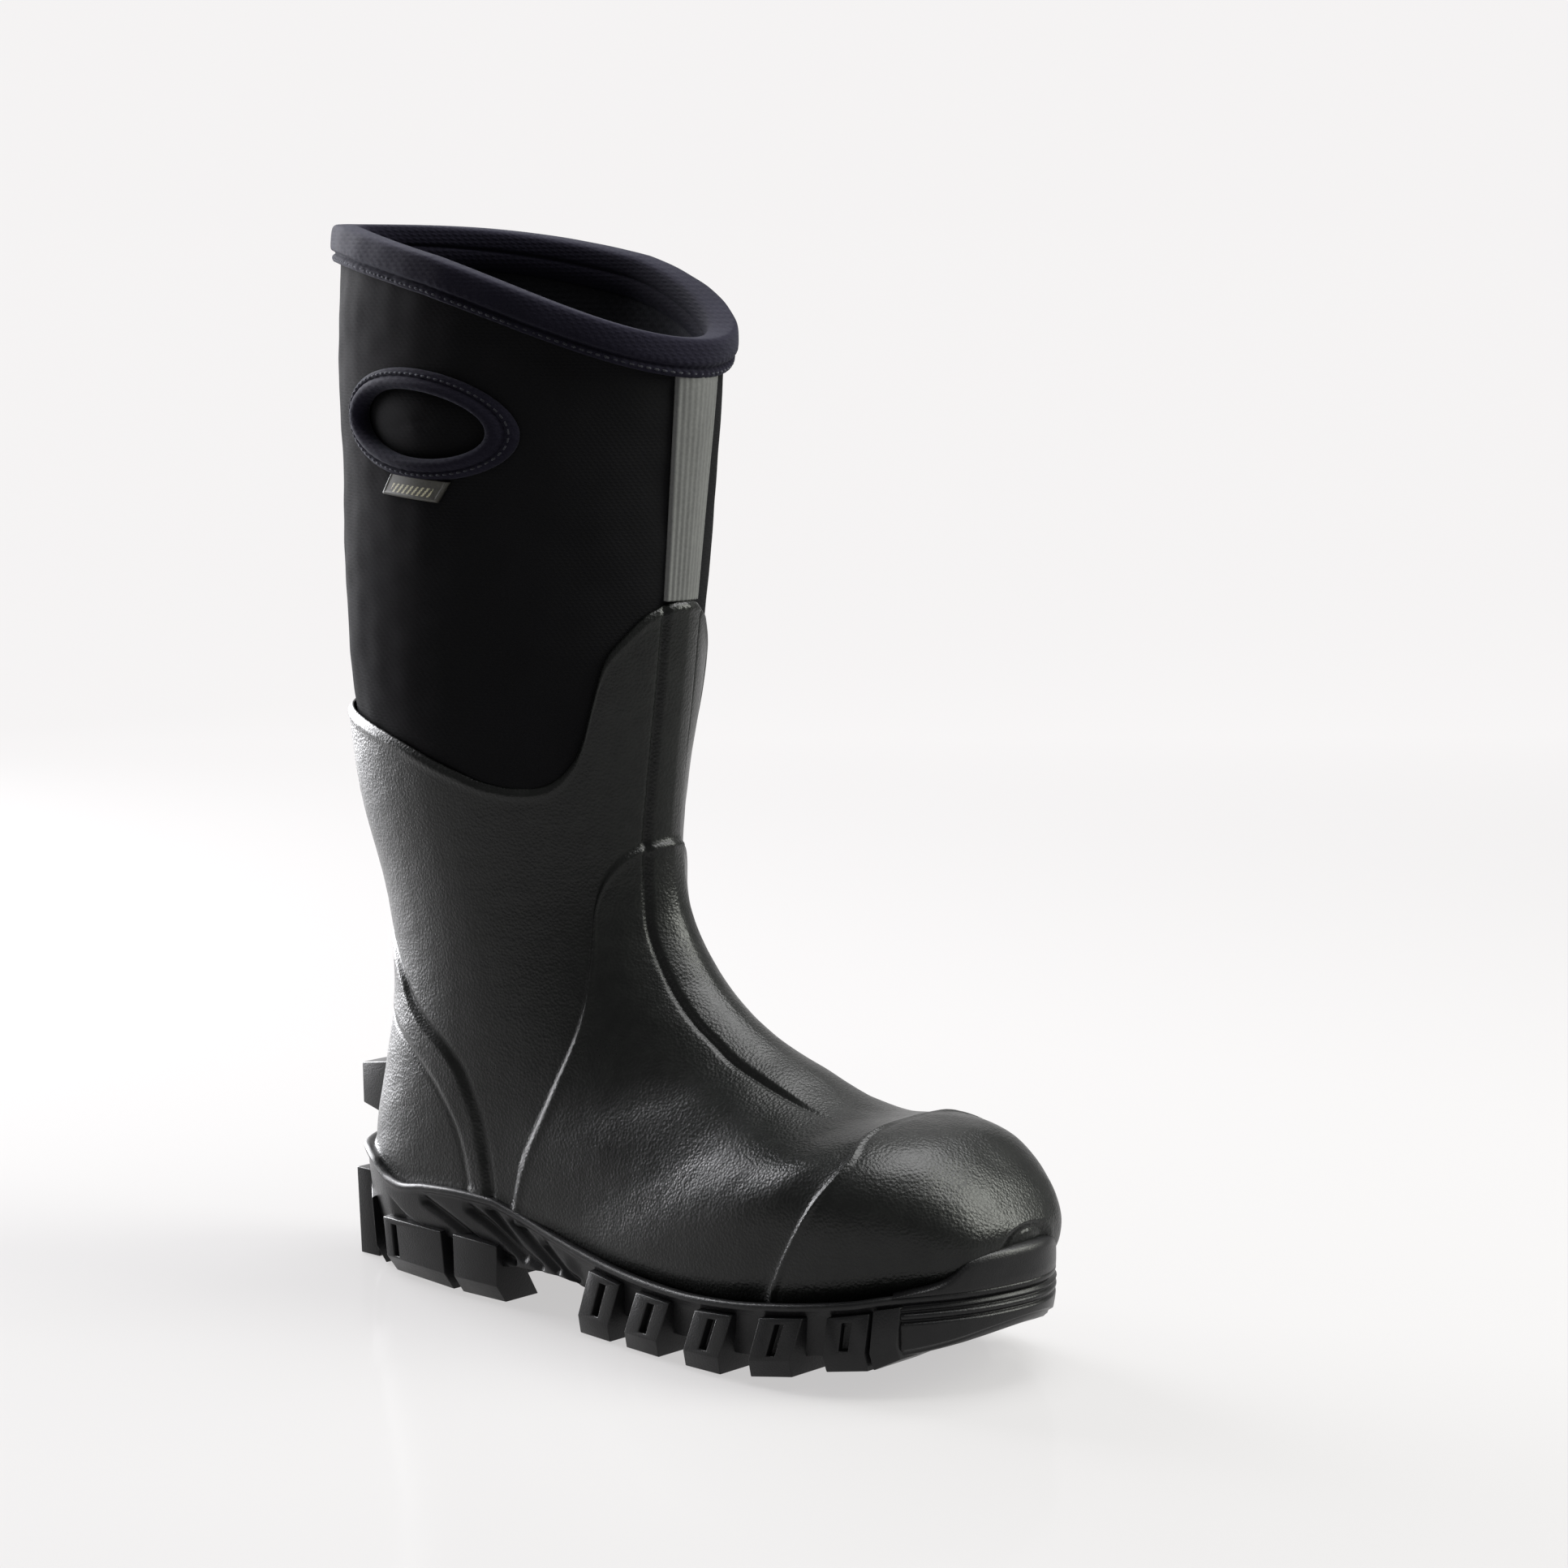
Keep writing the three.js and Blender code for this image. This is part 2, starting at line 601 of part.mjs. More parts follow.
function frontBand(stations, out, inn) {
  const grid = stations.map((s) => {
    const a = stripAngle(s);
    return [[s, a], [s, 7.5], [s, 0], [s, -7.5], [s, -a]];
  });
  return layer(grid, out, inn);
}

function frontStrip() {
  const from = stationAt(0, rimHeight(0) - BINDING - 1.5);
  const to = stationAt(0, gaiterHeight(0) + 0.6);
  return frontBand(steps(from, to, 8), GAP, INNER_SKIN);
}

function shinRidge() {
  return frontBand(steps(stationAt(0, gaiterHeight(0) - 1), VAMP_EDGE[0][1] - 0.12, 8), OVER_OUT, OVER_IN);
}

function instepRidge() {
  const stations = steps(VAMP_EDGE[0][1], TOE_SEAM[0][1] - 0.03, VAMP_ROWS);
  stations[0] += 0.1;
  stations[VAMP_ROWS] -= 0.05;
  return frontBand(stations, OVER_OUT - LAYER_GAP - OVERLAY, OVER_OUT - LAYER_GAP);
}

const HEEL_IN = OVER_IN - 0.3;
const HEEL_OUT = HEEL_IN - OVERLAY;

// Two lines that sweep round the heel, from the back down to the sole on each side.
const OUTER_LINE = [[5.35, 180], [5.6, 150], [5.99, 129], [6.63, 110], [7.06, 97.5], [7.52, 89.5],
  [8.46, 86], [9.4, 97]];
const INNER_LINE = [[5.85, 180], [6.15, 152], [6.5, 134], [7.08, 111], [7.52, 101], [7.91, 96],
  [8.84, 93.2], [9.36, 101.5]];

function heelLine(line, shift = 0, back = 0) {
  return (c) => {
    const t = Math.min(Math.abs(c), 1) * (line.length - 1);
    const table = line.map((row, i) => [i, row[0]]);
    const angles = line.map((row, i) => [i, row[1]]);
    const angle = Math.min(lookup(angles, t) + back, 180);
    return [lookup(table, t) + shift, c < 0 ? angle : 360 - angle];
  };
}

function heelBand() {
  return layer(ruled(heelLine(OUTER_LINE), heelLine(INNER_LINE), 3, steps(-1, 1, 28)),
    HEEL_OUT - 0.4, HEEL_IN);
}

function heelCounter() {
  const foot = (c) => {
    const angle = 180 - Math.abs(c) * 62;
    let lo = 7;
    let hi = 10.5;
    for (let i = 0; i < 30; i += 1) {
      const mid = (lo + hi) / 2;
      const p = at(mid, angle, OVER_OUT);
      if (p.z > lipTop(p.x) + 1.2) {
        lo = mid;
      } else {
        hi = mid;
      }
    }
    return [lo, c < 0 ? angle : 360 - angle];
  };
  return layer(ruled(heelLine(INNER_LINE, 0.05, 1.5), foot, 9, steps(-1, 1, 28)), HEEL_OUT, HEEL_IN);
}

function kickSpur() {
  const shape = toManifold(block(
    [vec(-6, -12, 58), vec(-6, 12, 58), vec(-7, 12, 72), vec(-7, -12, 72)],
    [vec(26, -15, 54), vec(26, 15, 54), vec(26, 15, 76), vec(26, -15, 76)],
  ));
  return fromManifold(shape.subtract(footSolid(-HEEL_OUT + 1.2)));
}

// ---- Neoprene, steel and lining ----
const CAP_START = 12.9;
const SHAFT_ROWS = 8;

function shaftPanel(side) {
  const angles = ROUND.filter((a) => a > 0 && a < 180).map((a) => a * side);
  const edges = [0.3 * side, ...angles, 179.7 * side];
  const rows = steps(0, 1, SHAFT_ROWS).map((t) => edges.map((a) => {
    const top = rimStation(a);
    return [top + (SHARED - top) * t, a];
  }));
  const panel = toManifold(layer(rows, FOAM_OUT, FOAM_IN));
  return fromManifold(panel.subtract(toManifold(handlePlug(side, 2))));
}

function footBootie() {
  const rows = [SHARED + 0.05, ...lowerStations(16)].map((s) => ROUND_INNER.map((a) => [s, a]));
  const out = (s) => FOAM_OUT + (STEEL_CAP + LAYER_GAP) * Math.min(Math.max((s - CAP_START + 0.6) / 0.5, 0), 1);
  return layer(rows, out, FOAM_IN, { loop: true, closed: true });
}

function toeCap() {
  const stations = [CAP_START, ...lowerStations(TOE, CAP_START)];
  const angles = ROUND.filter((a) => Math.abs(a) < 140).sort((a, b) => a - b);
  return layer(stations.map((s) => angles.map((a) => [s, a])), FOAM_OUT, FOAM_OUT + STEEL_CAP,
    { closed: true });
}

function liningSock() {
  return layer(placesFrom((a) => rimStation(a), ROUND_INNER, SHAFT_ROWS, 15.5), LINING_OUT, LINING_IN,
    { loop: true, closed: true });
}

// Flat-lying pieces on the sock's floor, stacked straight up.
function floorPiece(low, high, from, to) {
  const angles = steps(135, 225, 6);
  const rows = [from, ...lowerStations(to).filter((s) => s > from + 0.05)];
  const sheet = (lift) => rows.map((s) => angles.map((a) => at(s, a, LINING_IN + FLOOR_GAP).add(vec(0, 0, lift))));
  return between(sheet(high), sheet(low));
}

// ---- Collar and handles ----
// Ring round the top edge with a cross-section of [depth, height above the cut edge].
function rimRing(profile) {
  const rows = profile.map(([depth, rise]) => ROUND.map((a) => at(stationAt(a, rimHeight(a) + rise), a, depth)));
  const points = rows.flat();
  const count = ROUND.length;
  const faces = [];
  for (let r = 0; r < rows.length; r += 1) {
    const next = (r + 1) % rows.length;
    for (let c = 0; c < count; c += 1) {
      const d = (c + 1) % count;
      faces.push([r * count + c, r * count + d, next * count + d]);
      faces.push([r * count + c, next * count + d, next * count + c]);
    }
  }
  return solid(points, faces);
}

function collarBinding() {
  const inside = LINING_IN + 2 * LAYER_GAP;
  return rimRing([
    [GAP, -BINDING], [GAP, 3.2 - BINDING], [-0.6, 3.7 - BINDING], [-1, -3], [0.6, 2.5], [4.5, BINDING_TOP],
    [inside - 0.4, 2.8], [inside + 1.4, -2], [inside + 1.2, -11], [inside, -11],
    [inside, 0], [INNER_SKIN, 0], [INNER_SKIN, -BINDING],
  ]);
}

function collarStitching() {
  const low = 1.2 - BINDING;
  return rimRing([[0, low], [-0.5, low], [-0.5, low + 0.8], [0, low + 0.8]]);
}

// Place on the shaft's side seen square on at x, z.
function locate(x, z, side) {
  let s = 1.5;
  let a = 90 * side;
  for (let i = 0; i < 12; i += 1) {
    const p = onSkin(s, a);
    const ds = onSkin(s + 0.01, a).sub(p).multiplyScalar(100);
    const da = onSkin(s, a + 0.1).sub(p).multiplyScalar(10);
    const det = ds.x * da.z - ds.z * da.x;
    s += ((x - p.x) * da.z - (z - p.z) * da.x) / det;
    a += (ds.x * (z - p.z) - ds.z * (x - p.x)) / det;
    s = Math.min(Math.max(s, 0), 5);
  }
  return [s, a];
}

const handleZ = () => height(399) - HANDLE_BELOW_RIM;

// Places round an oval about the handle's centre; `grow` widens the finger hole.
function handleOval(side, grow, bandShare = 0, count = 20) {
  const tilt = -HANDLE_TILT * Math.PI / 180;
  return Array.from({ length: count }, (_, i) => {
    const t = i / count * 2 * Math.PI;
    const u = (HANDLE_HOLE[0] + grow + HANDLE_BAND[0] * bandShare) * Math.cos(t);
    const w = (HANDLE_HOLE[1] + grow + HANDLE_BAND[1] * bandShare) * Math.sin(t);
    const x = HANDLE_X * LENGTH_SCALE + u * Math.cos(tilt) - w * Math.sin(tilt);
    return locate(x, handleZ() + u * Math.sin(tilt) + w * Math.cos(tilt), side);
  });
}

function handlePlug(side, grow) {
  const ring = (depth) => handleOval(side, grow).map(([s, a]) => at(s, a, depth));
  return block(ring(-6), ring(16));
}

// Oval ring on the shaft, with a cross-section of [share of the band's width, depth].
function handleLoop(side, profile, grow = 0) {
  const rings = profile.map(([share, depth]) => handleOval(side, grow, share).map(([s, a]) => at(s, a, depth)));
  const points = rings.flat();
  const count = rings[0].length;
  const faces = [];
  for (let r = 0; r < rings.length; r += 1) {
    const next = (r + 1) % rings.length;
    for (let c = 0; c < count; c += 1) {
      const d = (c + 1) % count;
      faces.push([r * count + c, r * count + d, next * count + d]);
      faces.push([r * count + c, next * count + d, next * count + c]);
    }
  }
  return solid(points, faces);
}

function handleRing(side) {
  return handleLoop(side, [[0, INNER_SKIN], [0, -1], [0.25, -2.6], [0.7, -2.6], [1, -0.8], [1, INNER_SKIN]]);
}

function handleStitching(side) {
  return handleLoop(side, [[0.4, -3.3], [0.5, -3.3], [0.5, -2.9], [0.4, -2.9]]);
}

function handleBacking(side) {
  const rows = [1.6, -4, -9.5].map((grow) => handleOval(side, grow));
  const bulge = [0, -1, -1.6].map((crown) => FOAM_IN - 0.2 - BACKING + crown);
  const outer = rows.map((row, r) => row.map(([s, a]) => at(s, a, bulge[r])));
  const inner = rows.map((row, r) => row.map(([s, a]) => at(s, a, bulge[r] + BACKING)));
  return between(outer, inner, { loop: true, tips: [middleOf(outer[2]), middleOf(inner[2])] });
}

function labelTab() {
  const top = handleZ() - HANDLE_HOLE[1] - HANDLE_BAND[1] - 1.2;
  const left = HANDLE_X - 12;
  const grid = steps(0, 1, 3).map((t) => steps(left, left + LABEL[0], 4).map((x) => {
    const lean = -LABEL_LEAN * t;
    return locate((x + lean) * LENGTH_SCALE, top - LABEL[1] * t - (x - HANDLE_X) * 0.06, 1);
  }));
  return layer(grid, 0.6, INNER_SKIN);
}

// ---- Assembly ----
const black = (roughness, colour = 0x17181a, metalness = 0) => new THREE.MeshStandardMaterial(
  { color: colour, roughness, metalness, side: THREE.FrontSide },
);
const tread = () => black(0.55, 0x151517);
const rubber = () => black(0.42, 0x1b1d1d);
const foam = () => black(0.95, 0x121214);
const fabric = () => black(0.85, 0x1b1a21);
const steel = () => black(0.35, 0xa7abad, 0.9);
const thread = () => black(0.8, 0x2a2a30);

function build() {
  const boot = new THREE.Group();
  boot.name = 'steel_toe_work_boot';
  const add = (name, geometry, material) => {
    const mesh = new THREE.Mesh(geometry, material);
    mesh.name = name;
    boot.add(mesh);
  };
  add('outsole', outsole(), tread());
  add('toe_bumper', toeBumper(), tread());
  add('puncture_plate', puncturePlate(), steel());
  add('steel_shank', shankSolid(0), steel());
  add('midsole_cushion', midsole(), black(0.9, 0x3a3d42));
  add('rubber_shell', rubberShell(), rubber());
  add('vamp_overlay', vampOverlay(), rubber());
  add('toe_overlay', toeOverlay(), rubber());
  add('shin_ridge', shinRidge(), rubber());
  add('instep_ridge', instepRidge(), rubber());
  add('heel_counter', heelCounter(), rubber());
  add('heel_band', heelBand(), rubber());
  add('kick_spur', kickSpur(), tread());
  add('front_strip', frontStrip(), black(0.7, 0x5a5c58));
  add('steel_toe_cap', toeCap(), steel());
  add('foot_bootie', footBootie(), foam());
  add('shaft_panel_lateral', shaftPanel(1), foam());
  add('shaft_panel_medial', shaftPanel(-1), foam());
  add('lining_sock', liningSock(), black(0.9, 0x202124));
  add('insole_board', floorPiece(0, BOARD, 9.3, 15), black(0.9, 0x8a7f6c));
  const foamLow = BOARD + GAP;
  add('footbed_foam', floorPiece(foamLow, foamLow + FOOTBED, 9.35, 14.9), black(0.9, 0x2c2f33));
  const coverLow = foamLow + FOOTBED + GAP;
  add('footbed_cover', floorPiece(coverLow, coverLow + COVER, 9.35, 14.9), fabric());
  add('collar_binding', collarBinding(), fabric());
  add('collar_stitching', collarStitching(), thread());
  for (const [name, side] of [['lateral', 1], ['medial', -1]]) {
    add(`handle_ring_${name}`, handleRing(side), fabric());
    add(`handle_stitching_${name}`, handleStitching(side), thread());
    add(`handle_backing_${name}`, handleBacking(side), foam());
  }
  add('label_tab', labelTab(), black(0.6, 0x3b3a34));

  const bounds = new THREE.Box3().setFromObject(boot);
  const centre = bounds.getCenter(new THREE.Vector3());
  for (const piece of boot.children) {
    piece.position.set(-centre.x, -centre.y, -bounds.min.z);
  }
  return boot;
}

export default build();
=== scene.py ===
"""Steel toe rubber work boot (right foot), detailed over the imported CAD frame.

Shapes are worked out in millimetres with X from the heel's back edge to the toe, -Y lateral and
Z up from the ground, then moved into the row frame (metres) by OFFSET.
"""
import math

import bmesh
import bpy
import numpy as np
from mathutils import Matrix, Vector


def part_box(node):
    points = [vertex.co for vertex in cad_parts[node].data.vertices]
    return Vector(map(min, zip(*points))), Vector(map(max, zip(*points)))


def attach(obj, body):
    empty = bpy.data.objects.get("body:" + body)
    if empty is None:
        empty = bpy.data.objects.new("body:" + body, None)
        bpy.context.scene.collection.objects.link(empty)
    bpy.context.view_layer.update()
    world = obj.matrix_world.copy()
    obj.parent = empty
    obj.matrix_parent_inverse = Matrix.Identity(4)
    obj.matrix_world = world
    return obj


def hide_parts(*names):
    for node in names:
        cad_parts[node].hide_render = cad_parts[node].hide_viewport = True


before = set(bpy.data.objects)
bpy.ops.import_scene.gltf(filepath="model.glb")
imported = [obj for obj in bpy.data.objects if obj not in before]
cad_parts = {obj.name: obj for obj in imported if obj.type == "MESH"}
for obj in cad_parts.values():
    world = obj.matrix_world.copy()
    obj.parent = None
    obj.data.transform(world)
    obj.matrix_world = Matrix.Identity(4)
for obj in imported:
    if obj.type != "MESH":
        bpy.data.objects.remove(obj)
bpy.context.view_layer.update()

# Where the millimetre layout's origin lies in the row frame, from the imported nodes.
sole_low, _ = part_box("outsole")
spur_low, spur_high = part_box("kick_spur")
OFFSET = np.array([sole_low[0] * 1000, (spur_low[1] + spur_high[1]) * 500, sole_low[2] * 1000])
BOOT = "boot"
FOOTBED = "footbed"

# ---- The boot's surface: the same sections as the CAD model ----
SECTIONS = np.array([
    (-20, 410, 171, 410, 0, 57, 56, .57, 1.95, 1.5),
    (-18, 350, 167, 350, 0, 59, 58, .54, 1.9, 1.65),
    (-11, 293, 161, 293, 0, 59, 58, .51, 1.85, 1.8),
    (-6, 238, 155, 238, 0, 57, 56, .49, 1.8, 1.9),
    (-1, 188, 150, 198, 0, 50, 49, .48, 1.75, 2),
    (11, 146, 148, 168, 0, 44, 43, .48, 1.75, 2),
    (16, 110, 152, 146, 0, 41, 40, .47, 1.8, 2.05),
    (10, 76, 165, 127, 0, 40, 39, .44, 1.9, 2.15),
    (6, 48, 181, 113, 0, 40, 39, .41, 2, 2.4),
    (16, 29, 197, 103, 1, 41, 39, .39, 2.1, 3.2),
    (62, 27, 213, 96, 2, 43, 40, .37, 2.2, 4),
    (115, 25, 229, 90, 3, 46, 42, .36, 2.3, 4),
    (165, 21, 246, 86, 4, 52, 46, .36, 2.4, 4),
    (210, 18, 263, 87, 6, 54, 47, .38, 2.5, 4),
    (252, 21, 281, 83, 9, 51, 43, .42, 2.5, 3.6),
    (282, 29, 295, 72, 11, 40, 34, .46, 2.4, 3),
    (300, 38, 304, 60, 12, 26, 22, .5, 2.2, 2.4),
    (307, 46, 308, 54, 12, 4, 4, .5, 2, 2)], float)
TOE = len(SECTIONS) - 1
PADDED = np.vstack([2 * SECTIONS[0] - SECTIONS[1], SECTIONS, 2 * SECTIONS[-1] - SECTIONS[-2]])


def skin(station, angle, full=0.0):
    """Points on the boot's surface; angle 0 is the front line, 90 lateral, 180 the back."""
    station, angle = np.broadcast_arrays(np.asarray(station, float), np.asarray(angle, float))
    i = np.clip(np.floor(station).astype(int), 0, TOE - 1)
    t = (station - i)[..., None]
    a, b, c, d = (PADDED[i + k] for k in range(4))
    row = 0.5 * (2 * b + (c - a) * t + (2 * a - 5 * b + 4 * c - d) * t ** 2
                 + (3 * b - a - 3 * c + d) * t ** 3)
    rad = np.radians(angle)
    co, si = np.cos(rad), np.sin(rad)
    n = np.maximum(row[..., 9] + (row[..., 8] - row[..., 9]) * (1 + co) / 2, full)
    r = 1 / (np.abs(co) ** n + np.abs(si) ** n) ** (1 / n)
    mid = row[..., 7]
    along = mid + np.where(co > 0, 1 - mid, mid) * co * r
    across = si * r * np.where(si > 0, row[..., 5], row[..., 6])
    return np.stack([row[..., 0] + (row[..., 2] - row[..., 0]) * along, row[..., 4] - across,
                     row[..., 1] + (row[..., 3] - row[..., 1]) * along], -1)


def outward(station, angle):
    station, angle = np.broadcast_arrays(np.asarray(station, float), np.asarray(angle, float))
    lo, hi = np.clip(station - .02, 0, TOE), np.clip(station + .02, 0, TOE)
    along = skin(hi, angle, 2) - skin(lo, angle, 2)
    around = skin(station, angle + .4, 2) - skin(station, angle - .4, 2)
    n = np.cross(around, along)
    return n / np.linalg.norm(n, axis=-1, keepdims=True)


def at(station, angle, depth=0.0):
    return skin(station, angle) - outward(station, angle) * np.asarray(depth, float)[..., None]


# ---- Lines on the surface ----
RIM_TOP = 394.5
RIM_DROP = 41
GAITER = ([0, 4, 9, 14.8, 17.5, 22.8, 26.5, 28.5, 30.2, 32, 33.8, 35.5, 37.8, 40.8, 43.5, 49.2, 54.5, 59.8,
           67.8, 80.5, 95, 106.8, 118, 129, 150, 180],
          [263.6, 263.4, 261.6, 258.9, 256.5, 250.8, 246.3, 243, 238, 229.8, 220.7, 213.3, 207, 202.5, 199.5,
           195.9, 194.7, 194.6, 195.7, 200.7, 207.4, 211.4, 213.9, 215.8, 218, 219])
# Lines on the moulded foot seen square on from the side, as X, Z.
VAMP = [(105, 12), (106.5, 28), (108.7, 40), (111.1, 49.5), (114, 59), (118.3, 68.6), (123.3, 79.8),
        (127.8, 90.8), (131.8, 101.5), (133.9, 110.5), (134.8, 119.5), (134.8, 131), (134.1, 142.6),
        (134, 151.4), (135.3, 158.9), (137.4, 164.4), (140, 168.8), (143, 172.2), (146.3, 174.6),
        (152, 177), (175, 184)]
SEAM = [(232, 16), (239.4, 30.3), (243.8, 37.2), (247.1, 43.7), (250, 49), (255, 58), (260, 66.7), (264, 74),
        (265, 79), (263, 82.5), (261.7, 85), (261.3, 92), (261, 110)]
OUTER_LINE = [(-6, 158), (8, 142), (22, 130.5), (39.7, 116.7), (46.3, 109), (56.2, 101.6), (69.2, 93.9),
              (78.2, 85.8), (83.5, 77.3), (87.5, 68.7), (90, 59.7), (92.4, 49.4), (94, 41.9), (97, 25)]
INNER_LINE = [(-6, 122), (8, 114), (22, 105), (33, 98.8), (43.4, 94), (53.4, 88.2), (64.1, 80.6),
              (70.3, 73.8), (75.7, 66.8), (79.8, 58.2), (82.5, 49.3), (83.9, 41.8), (85.5, 26)]
RIDGE_HALF = ([2, 4, 4.8, 5.5, 6.1, 6.7, 7.2, 7.8, 8.4, 9, 10.3, 12],
              [8.3, 8, 8.4, 9, 10.2, 11, 11.6, 12.1, 12.3, 13.3, 14.9, 16])
LIP_TOP = ([0, 14, 24, 30, 36, 45, 60, 80, 96, 104, 113, 128, 145, 162, 180, 200, 225, 245, 262, 275,
            287, 312],
           [46.5, 45.8, 43.6, 40.6, 38.5, 37.5, 39.6, 40.8, 40.4, 38.9, 37.1, 33.8, 30.6, 28, 26.3,
            25.6, 26.8, 28.9, 31.2, 33.3, 35.8, 38])
WEB = ([0, 60, 90, 112, 134, 146, 154, 200, 230, 252, 270, 288, 300, 312],
       [13, 12, 13, 16.5, 17.5, 14.5, 10, 8, 7.5, 10.5, 13, 15, 18.5, 25])
GROUND = ([0, 218, 236, 253, 266, 279, 288, 300, 312], [0, 0, 2, 4.5, 8, 9.5, 14, 18, 25])
BUMPER_TOP = ([286, 290, 293, 296, 299, 301, 302.5, 304, 306, 309, 312],
              [36, 37.4, 38.4, 39.4, 41, 43.2, 45.8, 48, 49.3, 50.2, 50.6])
LIP_OUTLINE = np.array([
    (0, 0), (3, -15), (14, -29), (36, -39), (70, -43), (108, -43), (148, -47), (188, -51),
    (226, -53), (260, -48), (286, -36), (304, -15), (311, 11), (305, 30), (288, 47), (262, 56),
    (226, 57), (188, 53), (148, 49), (108, 45), (70, 43), (36, 38), (14, 29), (3, 15)], float)
STRIP_HALF = (11, 8.6)
HANDLE = (77, 327)
HOLE = (34.5, 12.8)
BAND = (10.5, 6.7)
TILT = math.radians(-4.5)


def table(xs_ys, x):
    return np.interp(x, *xs_ys)


def smooth_table(xs_ys, x):
    """Smooth curve through a table's points, without overshoot."""
    xs, ys = np.asarray(xs_ys[0], float), np.asarray(xs_ys[1], float)
    step = np.diff(xs)
    slope = np.diff(ys) / step
    same = slope[:-1] * slope[1:] > 0
    bend = np.where(same, 2 * slope[:-1] * slope[1:] / np.where(same, slope[:-1] + slope[1:], 1), 0)
    m = np.concatenate([[slope[0]], bend, [slope[-1]]])
    x = np.clip(np.asarray(x, float), xs[0], xs[-1])
    i = np.clip(np.searchsorted(xs, x, side="right") - 1, 0, len(step) - 1)
    t = (x - xs[i]) / step[i]
    return ((1 + 2 * t) * (1 - t) ** 2 * ys[i] + t * (1 - t) ** 2 * step[i] * m[i]
            + t * t * (3 - 2 * t) * ys[i + 1] + t * t * (t - 1) * step[i] * m[i + 1])


def ease(x):
    x = np.clip(np.asarray(x, float) * .5 + .5, 0, 1)
    return x * x * (3 - 2 * x)


def bump(x):
    return np.exp(-np.asarray(x, float) ** 2)


def wave_noise(p, scale, seed=0, octaves=3):
    """Gentle seeded undulation, about -1 to 1, from a few sine waves."""
    rng = np.random.RandomState(seed)
    total = 0
    for k in range(octaves * 3):
        d = rng.normal(size=3)
        d /= np.linalg.norm(d)
        total = total + np.sin(p @ d * (6.283 / scale) * (1 + .45 * (k % 3)) + rng.rand() * 6.283)
    return total / (octaves * 3) ** .5 / 1.2


def rim_z(angle):
    return RIM_TOP - RIM_DROP * ((1 + np.cos(np.radians(angle))) / 2) ** 1.8


def station_at(angle, z, lo=0.0, hi=6.5):
    angle, z = np.broadcast_arrays(np.asarray(angle, float), np.asarray(z, float))
    a, b = np.full(angle.shape, lo), np.full(angle.shape, hi)
    for _ in range(26):
        m = (a + b) / 2
        above = skin(m, angle)[..., 2] > z
        a, b = np.where(above, m, a), np.where(above, b, m)
    return (a + b) / 2


def locate(x, z, side):
    """Station and angle of the shaft's side at x, z."""
    x, z = np.broadcast_arrays(np.asarray(x, float), np.asarray(z, float))
    s, a = np.full(x.shape, 1.5), np.full(x.shape, 90.0 * side)
    for _ in range(14):
        p = skin(s, a)
        ds, da = (skin(s + .01, a) - p) * 100, (skin(s, a + .1) - p) * 10
        det = ds[..., 0] * da[..., 2] - ds[..., 2] * da[..., 0]
        ex, ez = x - p[..., 0], z - p[..., 2]
        s = np.clip(s + (ex * da[..., 2] - ez * da[..., 0]) / det, 0, 5)
        a = a + (ds[..., 0] * ez - ds[..., 2] * ex) / det
    return s, a


# ---- Mesh building ----
def to_frame(p):
    return (np.asarray(p, float) + OFFSET) / 1000


def make_mesh(name, verts, quads, tris=()):
    verts = to_frame(verts)
    quads = np.asarray(quads, np.int32).reshape(-1, 4)
    tris = np.asarray(tris, np.int32).reshape(-1, 3)
    mesh = bpy.data.meshes.new(name)
    mesh.vertices.add(len(verts))
    mesh.vertices.foreach_set("co", verts.astype(np.float32).ravel())
    mesh.loops.add(quads.size + tris.size)
    mesh.loops.foreach_set("vertex_index", np.concatenate([quads.ravel(), tris.ravel()]))
    mesh.polygons.add(len(quads) + len(tris))
    starts = np.concatenate([np.arange(len(quads)) * 4, quads.size + np.arange(len(tris)) * 3])
    mesh.polygons.foreach_set("loop_start", starts.astype(np.int32))
    mesh.update(calc_edges=True)
    mesh.validate()
    mesh.polygons.foreach_set("use_smooth", np.ones(len(mesh.polygons), bool))
    obj = bpy.data.objects.new(name, mesh)
    bpy.context.scene.collection.objects.link(obj)
    return obj


def fix_normals(obj):
    bm = bmesh.new()
    bm.from_mesh(obj.data)
    bmesh.ops.recalc_face_normals(bm, faces=bm.faces)
    bm.to_mesh(obj.data)
    bm.free()


def grid_faces(rows, cols, loop_rows=False, loop_cols=False, start=0):
    r = np.arange(rows if loop_rows else rows - 1)
    c = np.arange(cols if loop_cols else cols - 1)
    r, c = np.meshgrid(r, c, indexing="ij")
    r2, c2 = (r + 1) % rows, (c + 1) % cols
    return np.stack([r * cols + c, r * cols + c2, r2 * cols + c2, r2 * cols + c], -1).reshape(-1, 4) + start


def grid_object(name, p, loop_rows=False, loop_cols=False, cap_last=False):
    rows, cols = p.shape[:2]
    verts = p.reshape(-1, 3)
    quads = grid_faces(rows, cols, loop_rows, loop_cols)
    tris = []
    if cap_last:
        verts = np.vstack([verts, p[-1].mean(0)])
        c = np.arange(cols if loop_cols else cols - 1)
        last = (rows - 1) * cols
        tris = np.stack([last + c, last + (c + 1) % cols, np.full(len(c), rows * cols)], -1)
    obj = make_mesh(name, verts, quads, tris)
    fix_normals(obj)
    return obj


